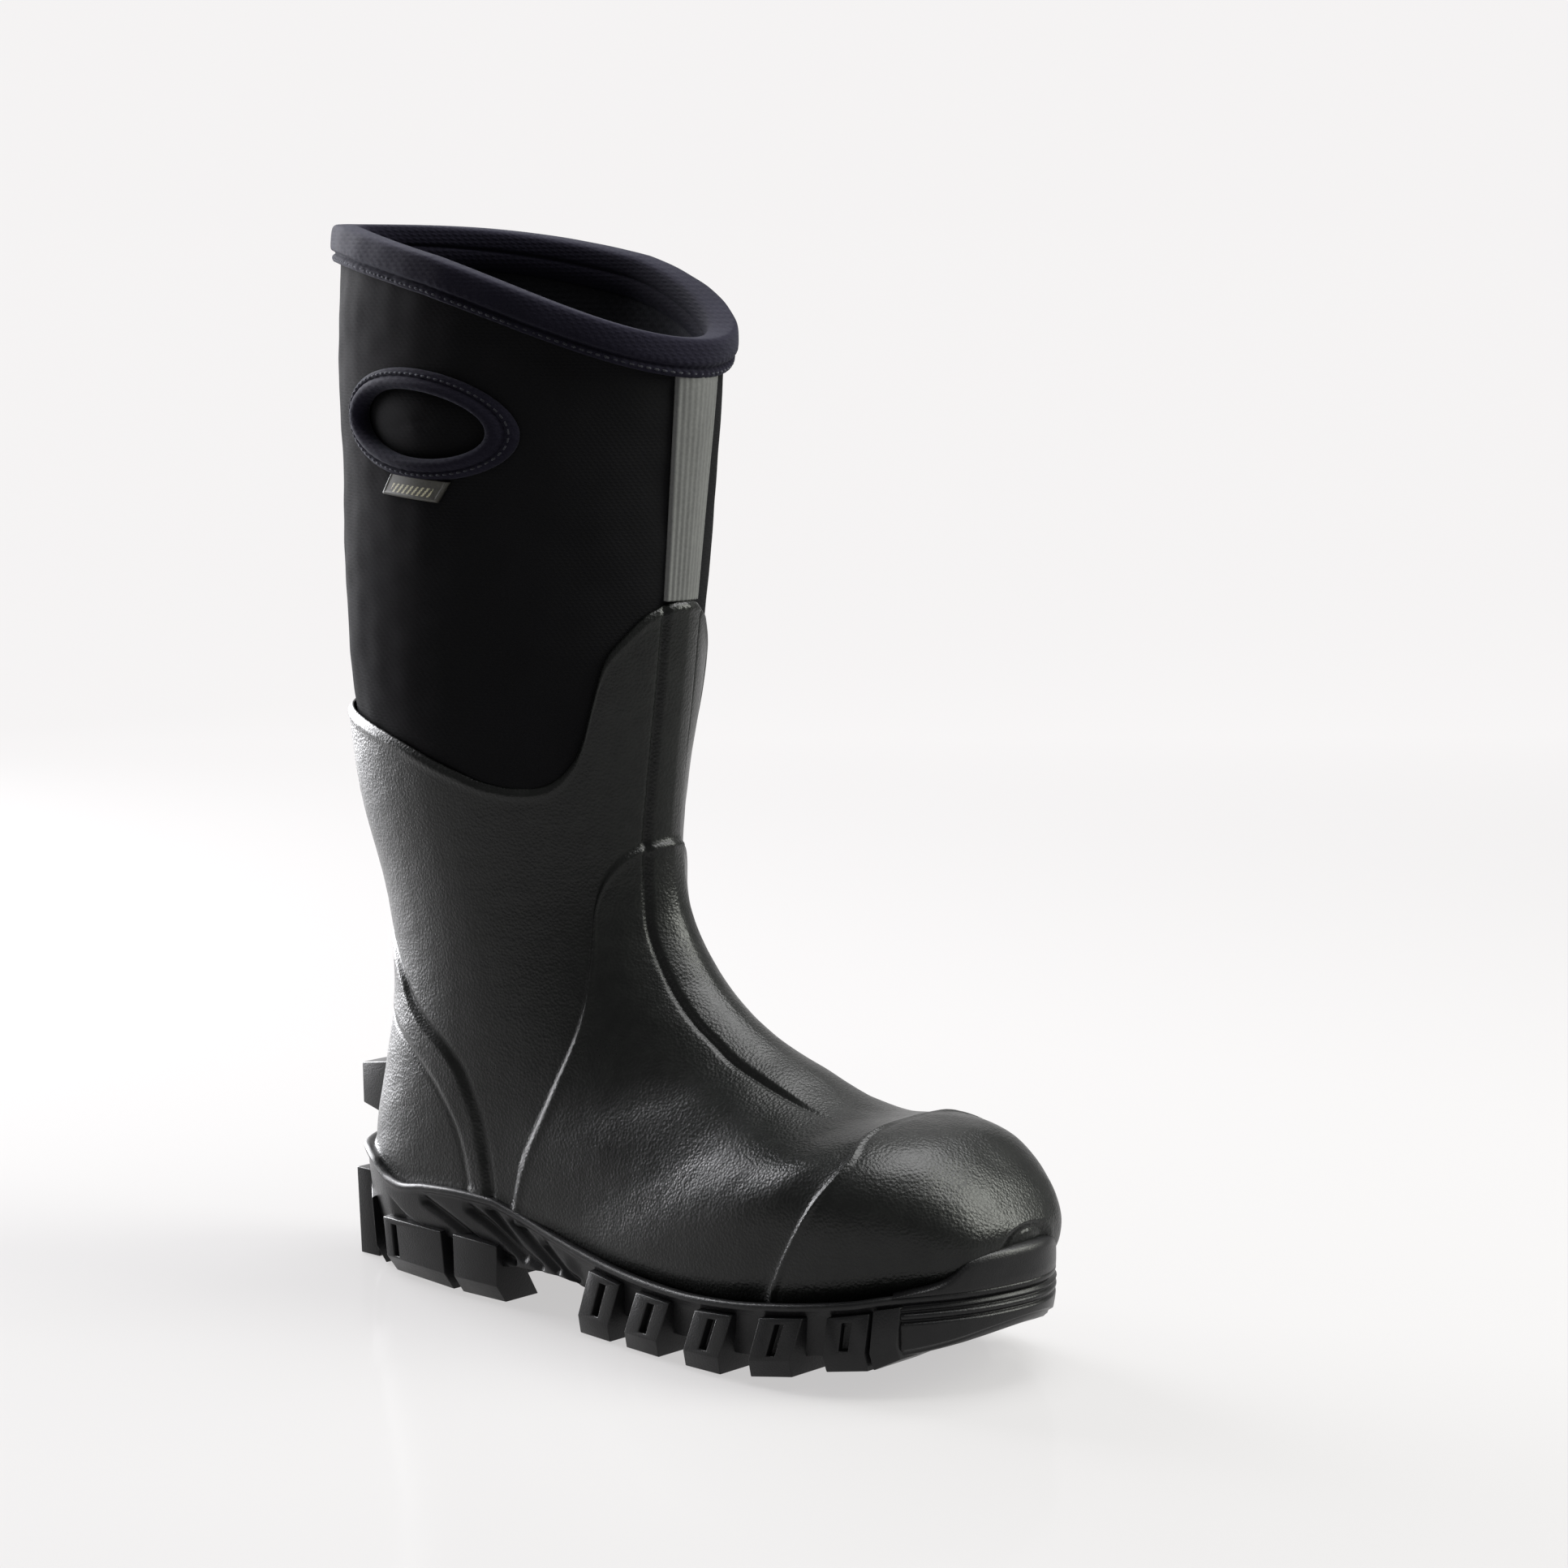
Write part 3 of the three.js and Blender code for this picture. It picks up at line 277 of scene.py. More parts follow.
def slab_object(name, outer, inner):
    """Closed sheet between two grids, its four edges walled."""
    rows, cols = outer.shape[:2]
    top = grid_faces(rows, cols)
    quads = [top, top[:, ::-1] + rows * cols]
    idx = np.arange(rows * cols).reshape(rows, cols)
    ring = np.concatenate([idx[0, :-1], idx[:-1, -1], idx[-1, :0:-1], idx[:0:-1, 0]])
    nxt = np.roll(ring, -1)
    quads.append(np.stack([nxt, ring, ring + rows * cols, nxt + rows * cols], -1))
    obj = make_mesh(name, np.concatenate([outer.reshape(-1, 3), inner.reshape(-1, 3)]), np.concatenate(quads))
    fix_normals(obj)
    return obj


def finish_piece(obj, material, nodes, body=BOOT):
    obj.data.materials.clear()
    obj.data.materials.append(material)
    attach(obj, body)
    if nodes:
        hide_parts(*nodes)
    return obj


# ---- Materials ----
class Nodes:
    """Small helper round a material's node tree."""

    def __init__(self, name, colour, roughness, metallic=0.0):
        self.material = bpy.data.materials.new(name)
        self.material.use_nodes = True
        self.tree = self.material.node_tree
        self.shader = self.tree.nodes["Principled BSDF"]
        self.set(self.shader, {"Base Color": (*colour, 1), "Roughness": roughness, "Metallic": metallic})
        coord = self.tree.nodes.new("ShaderNodeTexCoord")
        self.place = coord.outputs["Object"]

    def set(self, node, values):
        for key, value in values.items():
            node.inputs[key].default_value = value

    def add(self, kind, values=None, **attributes):
        node = self.tree.nodes.new(kind)
        for key, value in attributes.items():
            setattr(node, key, value)
        self.set(node, values or {})
        return node

    def link(self, out, node, name):
        self.tree.links.new(out, node.inputs[name])

    def noise(self, scale, detail=3, rough=.5, stretch=None):
        node = self.add("ShaderNodeTexNoise", {"Scale": scale, "Detail": detail, "Roughness": rough})
        self.link(self.stretched(stretch), node, "Vector")
        return node.outputs["Fac"]

    def voronoi(self, scale, randomness=1.0, feature="F1"):
        node = self.add("ShaderNodeTexVoronoi", {"Scale": scale, "Randomness": randomness}, feature=feature)
        self.link(self.place, node, "Vector")
        return node.outputs["Distance"]

    def wave(self, scale, direction="Z", distortion=0.0):
        node = self.add("ShaderNodeTexWave", {"Scale": scale, "Distortion": distortion},
                        bands_direction=direction)
        self.link(self.place, node, "Vector")
        return node.outputs["Fac"]

    def stretched(self, stretch):
        if stretch is None:
            return self.place
        node = self.add("ShaderNodeMapping", {"Scale": stretch})
        self.link(self.place, node, "Vector")
        return node.outputs["Vector"]

    def ramp(self, source, low, high, out_low, out_high):
        node = self.add("ShaderNodeMapRange", {"From Min": low, "From Max": high,
                                               "To Min": out_low, "To Max": out_high})
        self.link(source, node, "Value")
        return node.outputs["Result"]

    def maths(self, operation, a, b):
        node = self.add("ShaderNodeMath", operation=operation)
        for i, value in enumerate((a, b)):
            if isinstance(value, (int, float)):
                node.inputs[i].default_value = value
            else:
                self.tree.links.new(value, node.inputs[i])
        return node.outputs[0]

    def mix_colour(self, factor, a, b):
        node = self.add("ShaderNodeMix", data_type="RGBA")
        self.tree.links.new(factor, node.inputs[0])
        node.inputs[6].default_value = (*a, 1)
        node.inputs[7].default_value = (*b, 1)
        return node.outputs[2]

    def bump(self, height, distance, strength=1.0, normal=None):
        node = self.add("ShaderNodeBump", {"Strength": strength, "Distance": distance})
        self.link(height, node, "Height")
        if normal is not None:
            self.link(normal, node, "Normal")
        return node.outputs["Normal"]

    def use(self, **links):
        names = {"colour": "Base Color", "roughness": "Roughness", "normal": "Normal"}
        for key, out in links.items():
            self.link(out, self.shader, names[key])
        return self.material


def rubber_material(name, dark, light, rough, grain, grain_depth, shine=.5):
    n = Nodes(name, dark, rough)
    n.set(n.shader, {"Specular IOR Level": shine})
    cells = n.voronoi(grain)
    fine = n.noise(grain * 2.4, 2)
    broad = n.noise(26, 4, .6)
    mottle = n.noise(160, 3, .6)
    height = n.maths("ADD", n.maths("MULTIPLY", cells, .8), n.maths("MULTIPLY", fine, .35))
    normal = n.bump(height, grain_depth, .8)
    normal = n.bump(broad, .0003, .2, normal)
    colour = n.mix_colour(n.ramp(mottle, .35, .7, 0, 1), dark, light)
    rough_out = n.maths("ADD", n.ramp(broad, .3, .7, rough - .05, rough + .07),
                        n.ramp(cells, 0, 1, -.04, .06))
    return n.use(colour=colour, roughness=rough_out, normal=normal)


def knit_material(name, dark, light, rough, pitch, depth, sheen=.25):
    n = Nodes(name, dark, rough)
    n.set(n.shader, {"Specular IOR Level": .02, "Sheen Weight": sheen, "Sheen Roughness": .5,
                     "Sheen Tint": (.75, .78, .9, 1)})
    rows = n.wave(pitch, "Z", .6)
    cols = n.wave(pitch * .8, "DIAGONAL", .6)
    fuzz = n.noise(pitch * 9, 3, .7)
    broad = n.noise(34, 3)
    height = n.maths("ADD", n.maths("MULTIPLY", rows, cols), n.maths("MULTIPLY", fuzz, .8))
    normal = n.bump(height, depth, .7)
    colour = n.mix_colour(n.ramp(n.maths("ADD", fuzz, n.maths("MULTIPLY", broad, .5)), .55, 1.05, 0, 1),
                          dark, light)
    return n.use(colour=colour, roughness=n.ramp(broad, .3, .7, rough - .04, rough + .05), normal=normal)


def steel_material():
    n = Nodes("pressed_steel", (.5, .51, .52), .32, 1)
    lines = n.noise(900, 3, .6, (1, .06, 1))
    return n.use(roughness=n.ramp(lines, .3, .7, .24, .42), normal=n.bump(lines, .00004, .5))


def strip_material():
    n = Nodes("grey_ribbed_strip", (.055, .058, .055), .5)
    n.set(n.shader, {"Specular IOR Level": .45})
    ribs = n.wave(150, "Y", .15)
    speck = n.noise(900, 3, .6)
    wear = n.noise(45, 4, .6, (1, 1, .25))
    colour = n.mix_colour(n.ramp(n.maths("ADD", n.maths("MULTIPLY", speck, .5), wear), .6, .95, 0, 1),
                          (.07, .071, .069), (.11, .112, .108))
    return n.use(colour=colour, roughness=n.ramp(wear, .3, .7, .42, .58),
                 normal=n.bump(n.maths("ADD", ribs, n.maths("MULTIPLY", speck, .4)), .00007, .6))


def plain_material(name, dark, light, rough, scale, depth):
    n = Nodes(name, dark, rough)
    n.set(n.shader, {"Specular IOR Level": .3})
    grain = n.noise(scale, 4, .6)
    return n.use(colour=n.mix_colour(n.ramp(grain, .35, .65, 0, 1), dark, light),
                 roughness=n.ramp(grain, .3, .7, rough - .05, rough + .05), normal=n.bump(grain, depth, .6))


MAT = {
    "shell_rubber": rubber_material("moulded_black_rubber", (.0035, .0039, .0036),
                                    (.006, .0066, .006), .32, 900, .00021, .25),
    "tread_rubber": rubber_material("tread_black_rubber", (.004, .004, .0045),
                                    (.0065, .0065, .007), .36, 1500, .00008, .26),
    "neoprene": knit_material("black_neoprene_knit", (.006, .006, .0064),
                              (.0095, .0095, .0102), .9, 260, .00012, .004),
    "binding_fabric": knit_material("blue_black_binding", (.006, .0055, .0095),
                                    (.013, .012, .0195), .8, 200, .0002, .05),
    "lining_fabric": knit_material("black_lining_knit", (.005, .005, .006),
                                   (.012, .012, .013), .85, 150, .00025, .2),
    "footbed_fabric": knit_material("footbed_cover_knit", (.02, .02, .024),
                                    (.04, .04, .045), .85, 170, .00025, .2),
    "steel": steel_material(),
    "reinforcement_strip": strip_material(),
    "midsole_foam": plain_material("midsole_foam", (.04, .04, .045), (.07, .07, .075), .85, 700, .0002),
    "footbed_foam": plain_material("footbed_foam", (.03, .032, .036), (.05, .052, .056), .85, 700, .0002),
    "insole_board": plain_material("fibre_board", (.22, .19, .13), (.34, .3, .22), .9, 260, .0002),
    "thread": knit_material("dark_thread", (.012, .012, .015), (.03, .03, .034), .7, 900, .00008, .3),
    "label": plain_material("label_rubber", (.03, .029, .024), (.05, .048, .04), .5, 900, .00006),
    "label_mark": plain_material("label_mark", (.3, .28, .18), (.42, .4, .28), .5, 900, .00004),
}


# ---- Rubber foot and gaiter ----
def gaiter_angles(count):
    """Angles round the boot, closer together at the front ridge."""
    t = np.linspace(0, 1, count, endpoint=False)
    return 360 * t - 14 * np.sin(2 * math.pi * t)


def signed(angle):
    return (np.asarray(angle) + 180) % 360 - 180


def mm_distance(field, p):
    """Field divided by its slope over the surface: about the distance in mm from its zero line."""
    step_r = np.linalg.norm(np.gradient(p, axis=0), axis=-1) + 1e-6
    step_c = np.linalg.norm(np.gradient(p, axis=1), axis=-1) + 1e-6
    slope = np.hypot(np.gradient(field, axis=0) / step_r, np.gradient(field, axis=1) / step_c)
    return field / np.maximum(slope, 1e-4)


def side_of(line, p):
    """Signed distance in X, Z from a smooth line; positive on its right."""
    pts = resample(line, len(line) * 6, closed=False)
    q = np.stack([p[..., 0], p[..., 2]], -1)
    best = np.full(q.shape[:-1], 1e9)
    sign = np.ones(q.shape[:-1])
    for a, b in zip(pts[:-1], pts[1:]):
        d, r = b - a, q - a
        t = np.clip((r @ d) / (d @ d), 0, 1)
        gap = np.hypot(r[..., 0] - t * d[0], r[..., 1] - t * d[1])
        near = gap < best
        best = np.where(near, gap, best)
        sign = np.where(near, np.sign(d[1] * r[..., 0] - d[0] * r[..., 1] + 1e-9), sign)
    return best * sign


def foot_relief(u, a, p):
    """Height of the moulded relief above the skin, in mm."""
    b = np.abs(signed(a))
    vamp = mm_distance(side_of(VAMP, p), p)
    seam = mm_distance(side_of(SEAM, p), p)
    outer = mm_distance(-side_of(OUTER_LINE, p), p)
    inner = mm_distance(-side_of(INNER_LINE, p), p)
    at_heel = (p[..., 0] < 112) & (p[..., 2] < 165)
    outer, inner = -np.where(at_heel, outer, 50), -np.where(at_heel, inner, 50)
    centre = np.abs(p[..., 1] - np.interp(u, range(TOE + 1), SECTIONS[:, 4]))
    half = smooth_table(RIDGE_HALF, u)
    ridge = np.where(b < 70, half - centre, -50)
    above_lip = p[..., 2] - smooth_table(LIP_TOP, p[..., 0])

    h = 1.35 * ease(vamp / 1.1) + .35 * bump((vamp - 1.6) / 1.5)
    on_ridge = ease((10.9 - u) * .9)
    h += on_ridge * (1.15 * ease(ridge / 1.3) - .75 * bump((ridge + 1.0) / .9))
    h += on_ridge * .9 * np.clip(1 - centre / half, 0, 1) * (b < 70)
    h += .25 * ease((u - 4.68) * 24) * ease(ridge / 1.3) * on_ridge
    side = ease((b - 44) / 14)
    top = ease((44 - b) / 8) * ease((b - 16) / 8)
    h += (.3 + .8 * side + .7 * top) * .95 * bump(seam / 1.25) - .3 * bump((seam + 7) / 6)
    h += .8 * ease(seam / 5)
    h += 1.15 * ease(outer / 1.3) - .8 * bump((outer + 1.2) / 1.5)
    h += -.55 * ease(inner / 1.2) - .5 * bump(inner / 1.2)
    h += .9 * bump(np.clip(above_lip, 0, None) / 2.2) * (p[..., 2] < 60)
    h += .12 * wave_noise(p, 90, 3) + .05 * wave_noise(p, 17, 5)
    covered = ease((smooth_table(BUMPER_TOP, p[..., 0]) - 2.4 - p[..., 2]) / .8) * ease((p[..., 0] - 289) / 2)
    return h * (1 - covered) - .8 * covered


def rubber_foot():
    cols, rows = ((460, 560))
    a = gaiter_angles(cols)
    edge = station_at(a, smooth_table(GAITER, np.abs(signed(a))))
    t = np.linspace(0, 1, rows)[:, None]
    t = t * (1 - .12 * np.sin(math.pi * t))
    u = edge[None] + (TOE - edge[None]) * t
    aa = np.broadcast_to(a, u.shape)
    p = skin(u, aa)
    h = foot_relief(u, aa, p)
    tip = ease((TOE - u - .35) * 6)
    down = p[0][None, :, 2] - p[..., 2]
    h = h * tip - 1.0 * bump(down / .8) * (u < 6) + .45 * bump((down - 2.2) / 1.5) * (u < 6)
    body = p + outward(u, aa) * h[..., None]
    lip = [at(edge + d / 24, a, depth) for depth, d in ((2.3, 5), (2.2, .6), (1.9, -.1), (1.45, -.25))]
    body = np.concatenate([np.array(lip), body])
    obj = grid_object("rubber_foot", body, loop_cols=True, cap_last=True)
    finish_piece(obj, MAT["shell_rubber"],
                 ["rubber_shell", "vamp_overlay", "toe_overlay", "shin_ridge", "instep_ridge",
                  "heel_counter", "heel_band"])


# ---- Shaft ----
def handle_share(p):
    """Oval radius about the handle's centre: 1 on the finger hole's edge."""
    x, z = p[..., 0] - HANDLE[0], p[..., 2] - HANDLE[1]
    c, s = math.cos(TILT), math.sin(TILT)
    along, up = x * c + z * s, -x * s + z * c
    return np.hypot(along / (HOLE[0] + 2), up / (HOLE[1] + 2))


def shaft_panel(side, name):
    cols, rows = ((230, 240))
    t = np.linspace(0, 1, cols)
    a = (.3 + 179.4 * t) * side
    top = station_at(a, rim_z(a) - .6)
    low = station_at(a, smooth_table(GAITER, np.abs(a)) - 11)
    u = top[None] + (low - top)[None] * np.linspace(0, 1, rows)[:, None]
    aa = np.broadcast_to(a, u.shape)
    p = skin(u, aa)
    sink = 4.2 * ease((1.02 - handle_share(p)) / .07)
    soft = .45 * wave_noise(p, 85, 11 + side) + .16 * wave_noise(p, 26, 21 + side)
    pucker = (.5 * bump((p[..., 2] - rim_z(aa) + 14) / 5)
              + .5 * bump((p[..., 2] - smooth_table(GAITER, np.abs(aa))) / 4))
    depth = 2.3 + sink + soft * (1 - .4 * ease((1.5 - handle_share(p)) / .3)) + .5 * pucker
    seam = np.minimum(np.abs(aa), 180 - np.abs(aa))
    depth = depth + 1.2 * bump(seam / 1.1)
    outer = p - outward(u, aa) * depth[..., None]
    inner = p - outward(u, aa) * np.minimum(depth + 4.2, 6.8)[..., None]
    obj = slab_object(name, outer, inner)
    finish_piece(obj, MAT["neoprene"], [name])


def handle_places(side, share, count, inset=0.0):
    t = np.linspace(0, 2 * math.pi, count, endpoint=False)
    along = (HOLE[0] + inset + BAND[0] * share) * np.cos(t)
    up = (HOLE[1] + inset + BAND[1] * share) * np.sin(t)
    c, s = math.cos(TILT), math.sin(TILT)
    return locate(HANDLE[0] + along * c - up * s, HANDLE[1] + along * s + up * c, side)


def resample(profile, count, closed=True):
    """Smooth closed loop through a cross-section's points."""
    pts = np.array(profile, float)
    n = len(pts)
    t = np.linspace(0, n, count, endpoint=False) if closed else np.linspace(0, n - 1, count)
    i = np.floor(t).astype(int)
    f = (t - i)[:, None]
    pick = (lambda k: pts[k % n]) if closed else (lambda k: pts[np.clip(k, 0, n - 1)])
    a, b, c, d = pick(i - 1), pick(i), pick(i + 1), pick(i + 2)
    return 0.5 * (2 * b + (c - a) * f + (2 * a - 5 * b + 4 * c - d) * f ** 2
                  + (3 * b - a - 3 * c + d) * f ** 3)


RING_PROFILE = [(1.02, 2.1), (1.04, 1.0), (.97, .1), (.84, -.5), (.7, -.75), (.63, -.35), (.56, -1.0),
                (.42, -2.1), (.24, -2.5), (.07, -2.1), (-.06, -.9), (-.09, 1.2), (-.05, 3.2), (.06, 4.4),
                (.2, 3.4), (.6, 2.6)]


def handle_ring(side, name):
    profile = resample(RING_PROFILE, 40)
    count = 180
    t = np.arange(count) * 2 * math.pi / count
    ring = []
    for share, depth in profile:
        s, a = handle_places(side, share, count)
        crease = (.16 * np.sin(t * 46) * bump((share - .62) / .1)
                  + .25 * np.sin(t * 3 + 1) * bump((share - .2) / .3))
        ring.append(at(s, a, depth + crease))
    obj = grid_object(name, np.array(ring), loop_rows=True, loop_cols=True)
    finish_piece(obj, MAT["binding_fabric"], [name])


def handle_backing(side, name):
    count = 120
    shares = np.array([1.06, 1.0, .93, .84, .72, .58, .42, .26, .1])
    depth = np.array([5.9, 5.2, 4.3, 3.3, 2.4, 1.7, 1.25, 1.05, 1.0])
    rows = []
    for share, d in zip(shares, depth):
        t = np.linspace(0, 2 * math.pi, count, endpoint=False)
        along, up = (HOLE[0] + 1.2) * share * np.cos(t), (HOLE[1] + 1.2) * share * np.sin(t)
        c, s = math.cos(TILT), math.sin(TILT)
        st, an = locate(HANDLE[0] + along * c - up * s, HANDLE[1] + along * s + up * c, side)
        rows.append(at(st, an, d + .25 * np.sin(t * 2 + side) * (1 - share)))
    obj = grid_object(name, np.array(rows), loop_cols=True, cap_last=True)
    finish_piece(obj, MAT["neoprene"], [name])


def capsule_row(name, points, normals, radius, fill, nodes, sides=8):
    """Run of stitches: short rounded threads laid along a path of points."""
    verts, quads = [], []
    n = len(points)
    profile = [(-1, .15), (-.86, .75), (-.5, 1), (.5, 1), (.86, .75), (1, .15)]
    for i in range(n):
        p, q = points[i], points[(i + 1) % n]
        axis = q - p
        length = np.linalg.norm(axis)
        if length > 12:
            continue
        axis /= length
        up = normals[i]
        sidewise = np.cross(axis, up)
        middle, half = (p + q) / 2, length * fill / 2
        start = len(verts)
        for along, r in profile:
            sag = -radius * .9 * along ** 4
            for k in range(sides):
                w = 2 * math.pi * k / sides
                verts.append(middle + axis * along * half + up * (sag + radius * r * math.cos(w))
                             + sidewise * radius * r * math.sin(w))
        quads.append(grid_faces(len(profile), sides, loop_cols=True, start=start))
    obj = make_mesh(name, np.array(verts), np.concatenate(quads))
    fix_normals(obj)
    finish_piece(obj, MAT["thread"], nodes)


def even_path(points, normals, pitch, closed=True):
    """Points every `pitch` mm along a path."""
    loop = np.vstack([points, points[:1]]) if closed else points
    nn = np.vstack([normals, normals[:1]]) if closed else normals
    dist = np.concatenate([[0], np.cumsum(np.linalg.norm(np.diff(loop, axis=0), axis=1))])
    count = int(round(dist[-1] / pitch))
    t = np.linspace(0, dist[-1], count, endpoint=False)
    out = np.stack([np.interp(t, dist, loop[:, k]) for k in range(3)], -1)
    n = np.stack([np.interp(t, dist, nn[:, k]) for k in range(3)], -1)
    return out, n / np.linalg.norm(n, axis=1, keepdims=True)


def handle_stitching(side, name):
    s, a = handle_places(side, .78, 200)
    points, normals = even_path(at(s, a, -.72), outward(s, a), 3.1)
    capsule_row(name, points, normals, .33, .66, [name])


# ---- Collar ----
COLLAR_PROFILE = [(2.15, -8.9), (1.2, -9.5), (.1, -9.5), (-.55, -8.9), (-.75, -8.0), (-.6, -7.1),
                  (.15, -6.5), (.3, -6.1),
                  (-.2, -5.6), (-1.35, -4.9), (-1.75, -3.4), (-1.75, -.8), (-1.6, 1.6), (-1.15, 3.4),
                  (-.1, 4.3), (1.8, 4.5), (4.6, 4.5), (7.4, 4.2), (9.1, 3.2), (9.9, .6), (10.2, -2.4),
                  (9.6, -3.6), (10.2, -4.6), (10.3, -7.4), (9.7, -10.2), (9, -11.2), (8.5, -10),
                  (8.4, -2), (5, -.1), (2.15, -2)]


def rim_path(rise, depth, count):
    a = gaiter_angles(count)
    s = station_at(a, rim_z(a) + rise)
    return s, a, at(s, a, depth)


def collar_binding():
    count = 420
    a = gaiter_angles(count)
    ring = []
    for depth, rise in resample(COLLAR_PROFILE, 96):
        s = station_at(a, rim_z(a) + rise)
        base = skin(s, a)
        pucker = np.sin(np.radians(a) * 118 + 2 * wave_noise(base, 30, 33))
        fold = (.3 * wave_noise(base, 34, 31) + .22 * pucker * bump((rise + 7.6) / 1.9)
                + .1 * pucker * bump((rise + 4.4) / 1.6))
        ring.append(base - outward(s, a) * (depth + fold * (depth < 6))[:, None])
    obj = grid_object("collar_binding", np.array(ring), loop_rows=True, loop_cols=True)
    finish_piece(obj, MAT["binding_fabric"], ["collar_binding"])


def collar_stitching():
    s, a, p = rim_path(-8.0, -.78, 400)
    points, normals = even_path(p, outward(s, a), 3.1)
    capsule_row("collar_stitching", points, normals, .36, .66, ["collar_stitching"])


def lining():
    cols, rows = 160, 200
    a = gaiter_angles(cols)
    top = station_at(a, rim_z(a) - 1)
    u = top[None] + (15.5 - top)[None] * np.linspace(0, 1, rows)[:, None]
    aa = np.broadcast_to(a, u.shape)
    p = skin(u, aa)
    depth = 7.9 + .35 * wave_noise(p, 60, 41)
    obj = grid_object("lining_sock", p - outward(u, aa) * depth[..., None], loop_cols=True, cap_last=True)
    cloth = obj.modifiers.new("cloth", "SOLIDIFY")
    cloth.thickness = .0008
    finish_piece(obj, MAT["lining_fabric"], ["lining_sock"])


def front_strip():
    cols, rows = 64, 150
    t = np.linspace(-1, 1, cols)
    low = float(station_at(0, float(smooth_table(GAITER, 0)) + .3))
    top = float(station_at(0, float(rim_z(0)) - 8))
    u = np.linspace(top, low, rows)[:, None]
    half = np.interp(u, [top, low], STRIP_HALF)
    width = np.interp(u, range(TOE + 1), SECTIONS[:, 5])
    a = np.degrees(np.arcsin(t[None] * half / width))
    uu = np.broadcast_to(u, a.shape)
    edge = np.clip((1 - np.abs(t)) / .05, 0, 1) ** .5
    facets = .8 * (1 - np.abs(t)) + .12 * np.cos(t * math.pi * 9)
    depth = 1.9 - (1.5 * edge + facets)[None] * np.ones_like(u)
    obj = slab_object("front_strip", at(uu, a, depth), at(uu, a, np.full(a.shape, 2.0)))
    finish_piece(obj, MAT["reinforcement_strip"], ["front_strip"])


LABEL = (30, 6.6)
LABEL_LEAN = 5.8


def label_tab():
    cols, rows = 90, 30
    across = np.linspace(0, 1, cols)[None]
    down = np.linspace(0, 1, rows)[:, None]
    x = HANDLE[0] - 12.3 + LABEL[0] * across - LABEL_LEAN * down
    z = HANDLE[1] - HOLE[1] - BAND[1] + .2 - (LABEL[1] + 1.4) * down - (x - HANDLE[0]) * .07
    s, a = locate(x, z, 1)
    border = np.minimum(np.minimum(across, 1 - across) * LABEL[0], (1 - down) * LABEL[1]) + 0 * x
    rise = .25 * bump((border - .9) / .3) + .9 * np.clip(border / .5, 0, 1) ** .5
    obj = slab_object("label_tab", at(s, a, 1.0 - rise), at(s, a, np.full(s.shape, 1.8)))
    finish_piece(obj, MAT["label"], ["label_tab"])
    obj.data.materials.append(MAT["label_mark"])
    # Plain slanted bars in place of any lettering.
    quads = (rows - 1) * (cols - 1)
    for i in range(quads):
        r, c = divmod(i, cols - 1)
        f = (c / cols * LABEL[0] + r / rows * 3) % 2.6
        if .36 * rows < r < .74 * rows and .14 * cols < c < .84 * cols and f < 1.1:
            obj.data.polygons[i].material_index = 1


# ---- Sole ----
def outline_points(count):
    pts = resample(LIP_OUTLINE, count)
    tangent = np.roll(pts, -1, 0) - np.roll(pts, 1, 0)
    tangent /= np.linalg.norm(tangent, axis=1, keepdims=True)
    normal = np.stack([tangent[:, 1], -tangent[:, 0]], -1)
    inside = np.sign(((np.array([150, 4]) - pts) * normal).sum(1))
    return pts, -normal * np.median(inside)


# Grooves in the waist of the sole, slanting down and forward, as X, Z.
FLUTES = [[(59.7, 33.6), (71.6, 29.4), (89, 21.5), (106, 18.3)], [(84.8, 34.8), (95.4, 30.3), (113, 21)],
          [(95.6, 36.5), (113, 22.7), (122, 19)], [(108.6, 34), (132, 20)], [(126, 28), (141, 17.6)]]
FLUTE_DEPTH, FLUTE_HALF = 2.4, 1.7


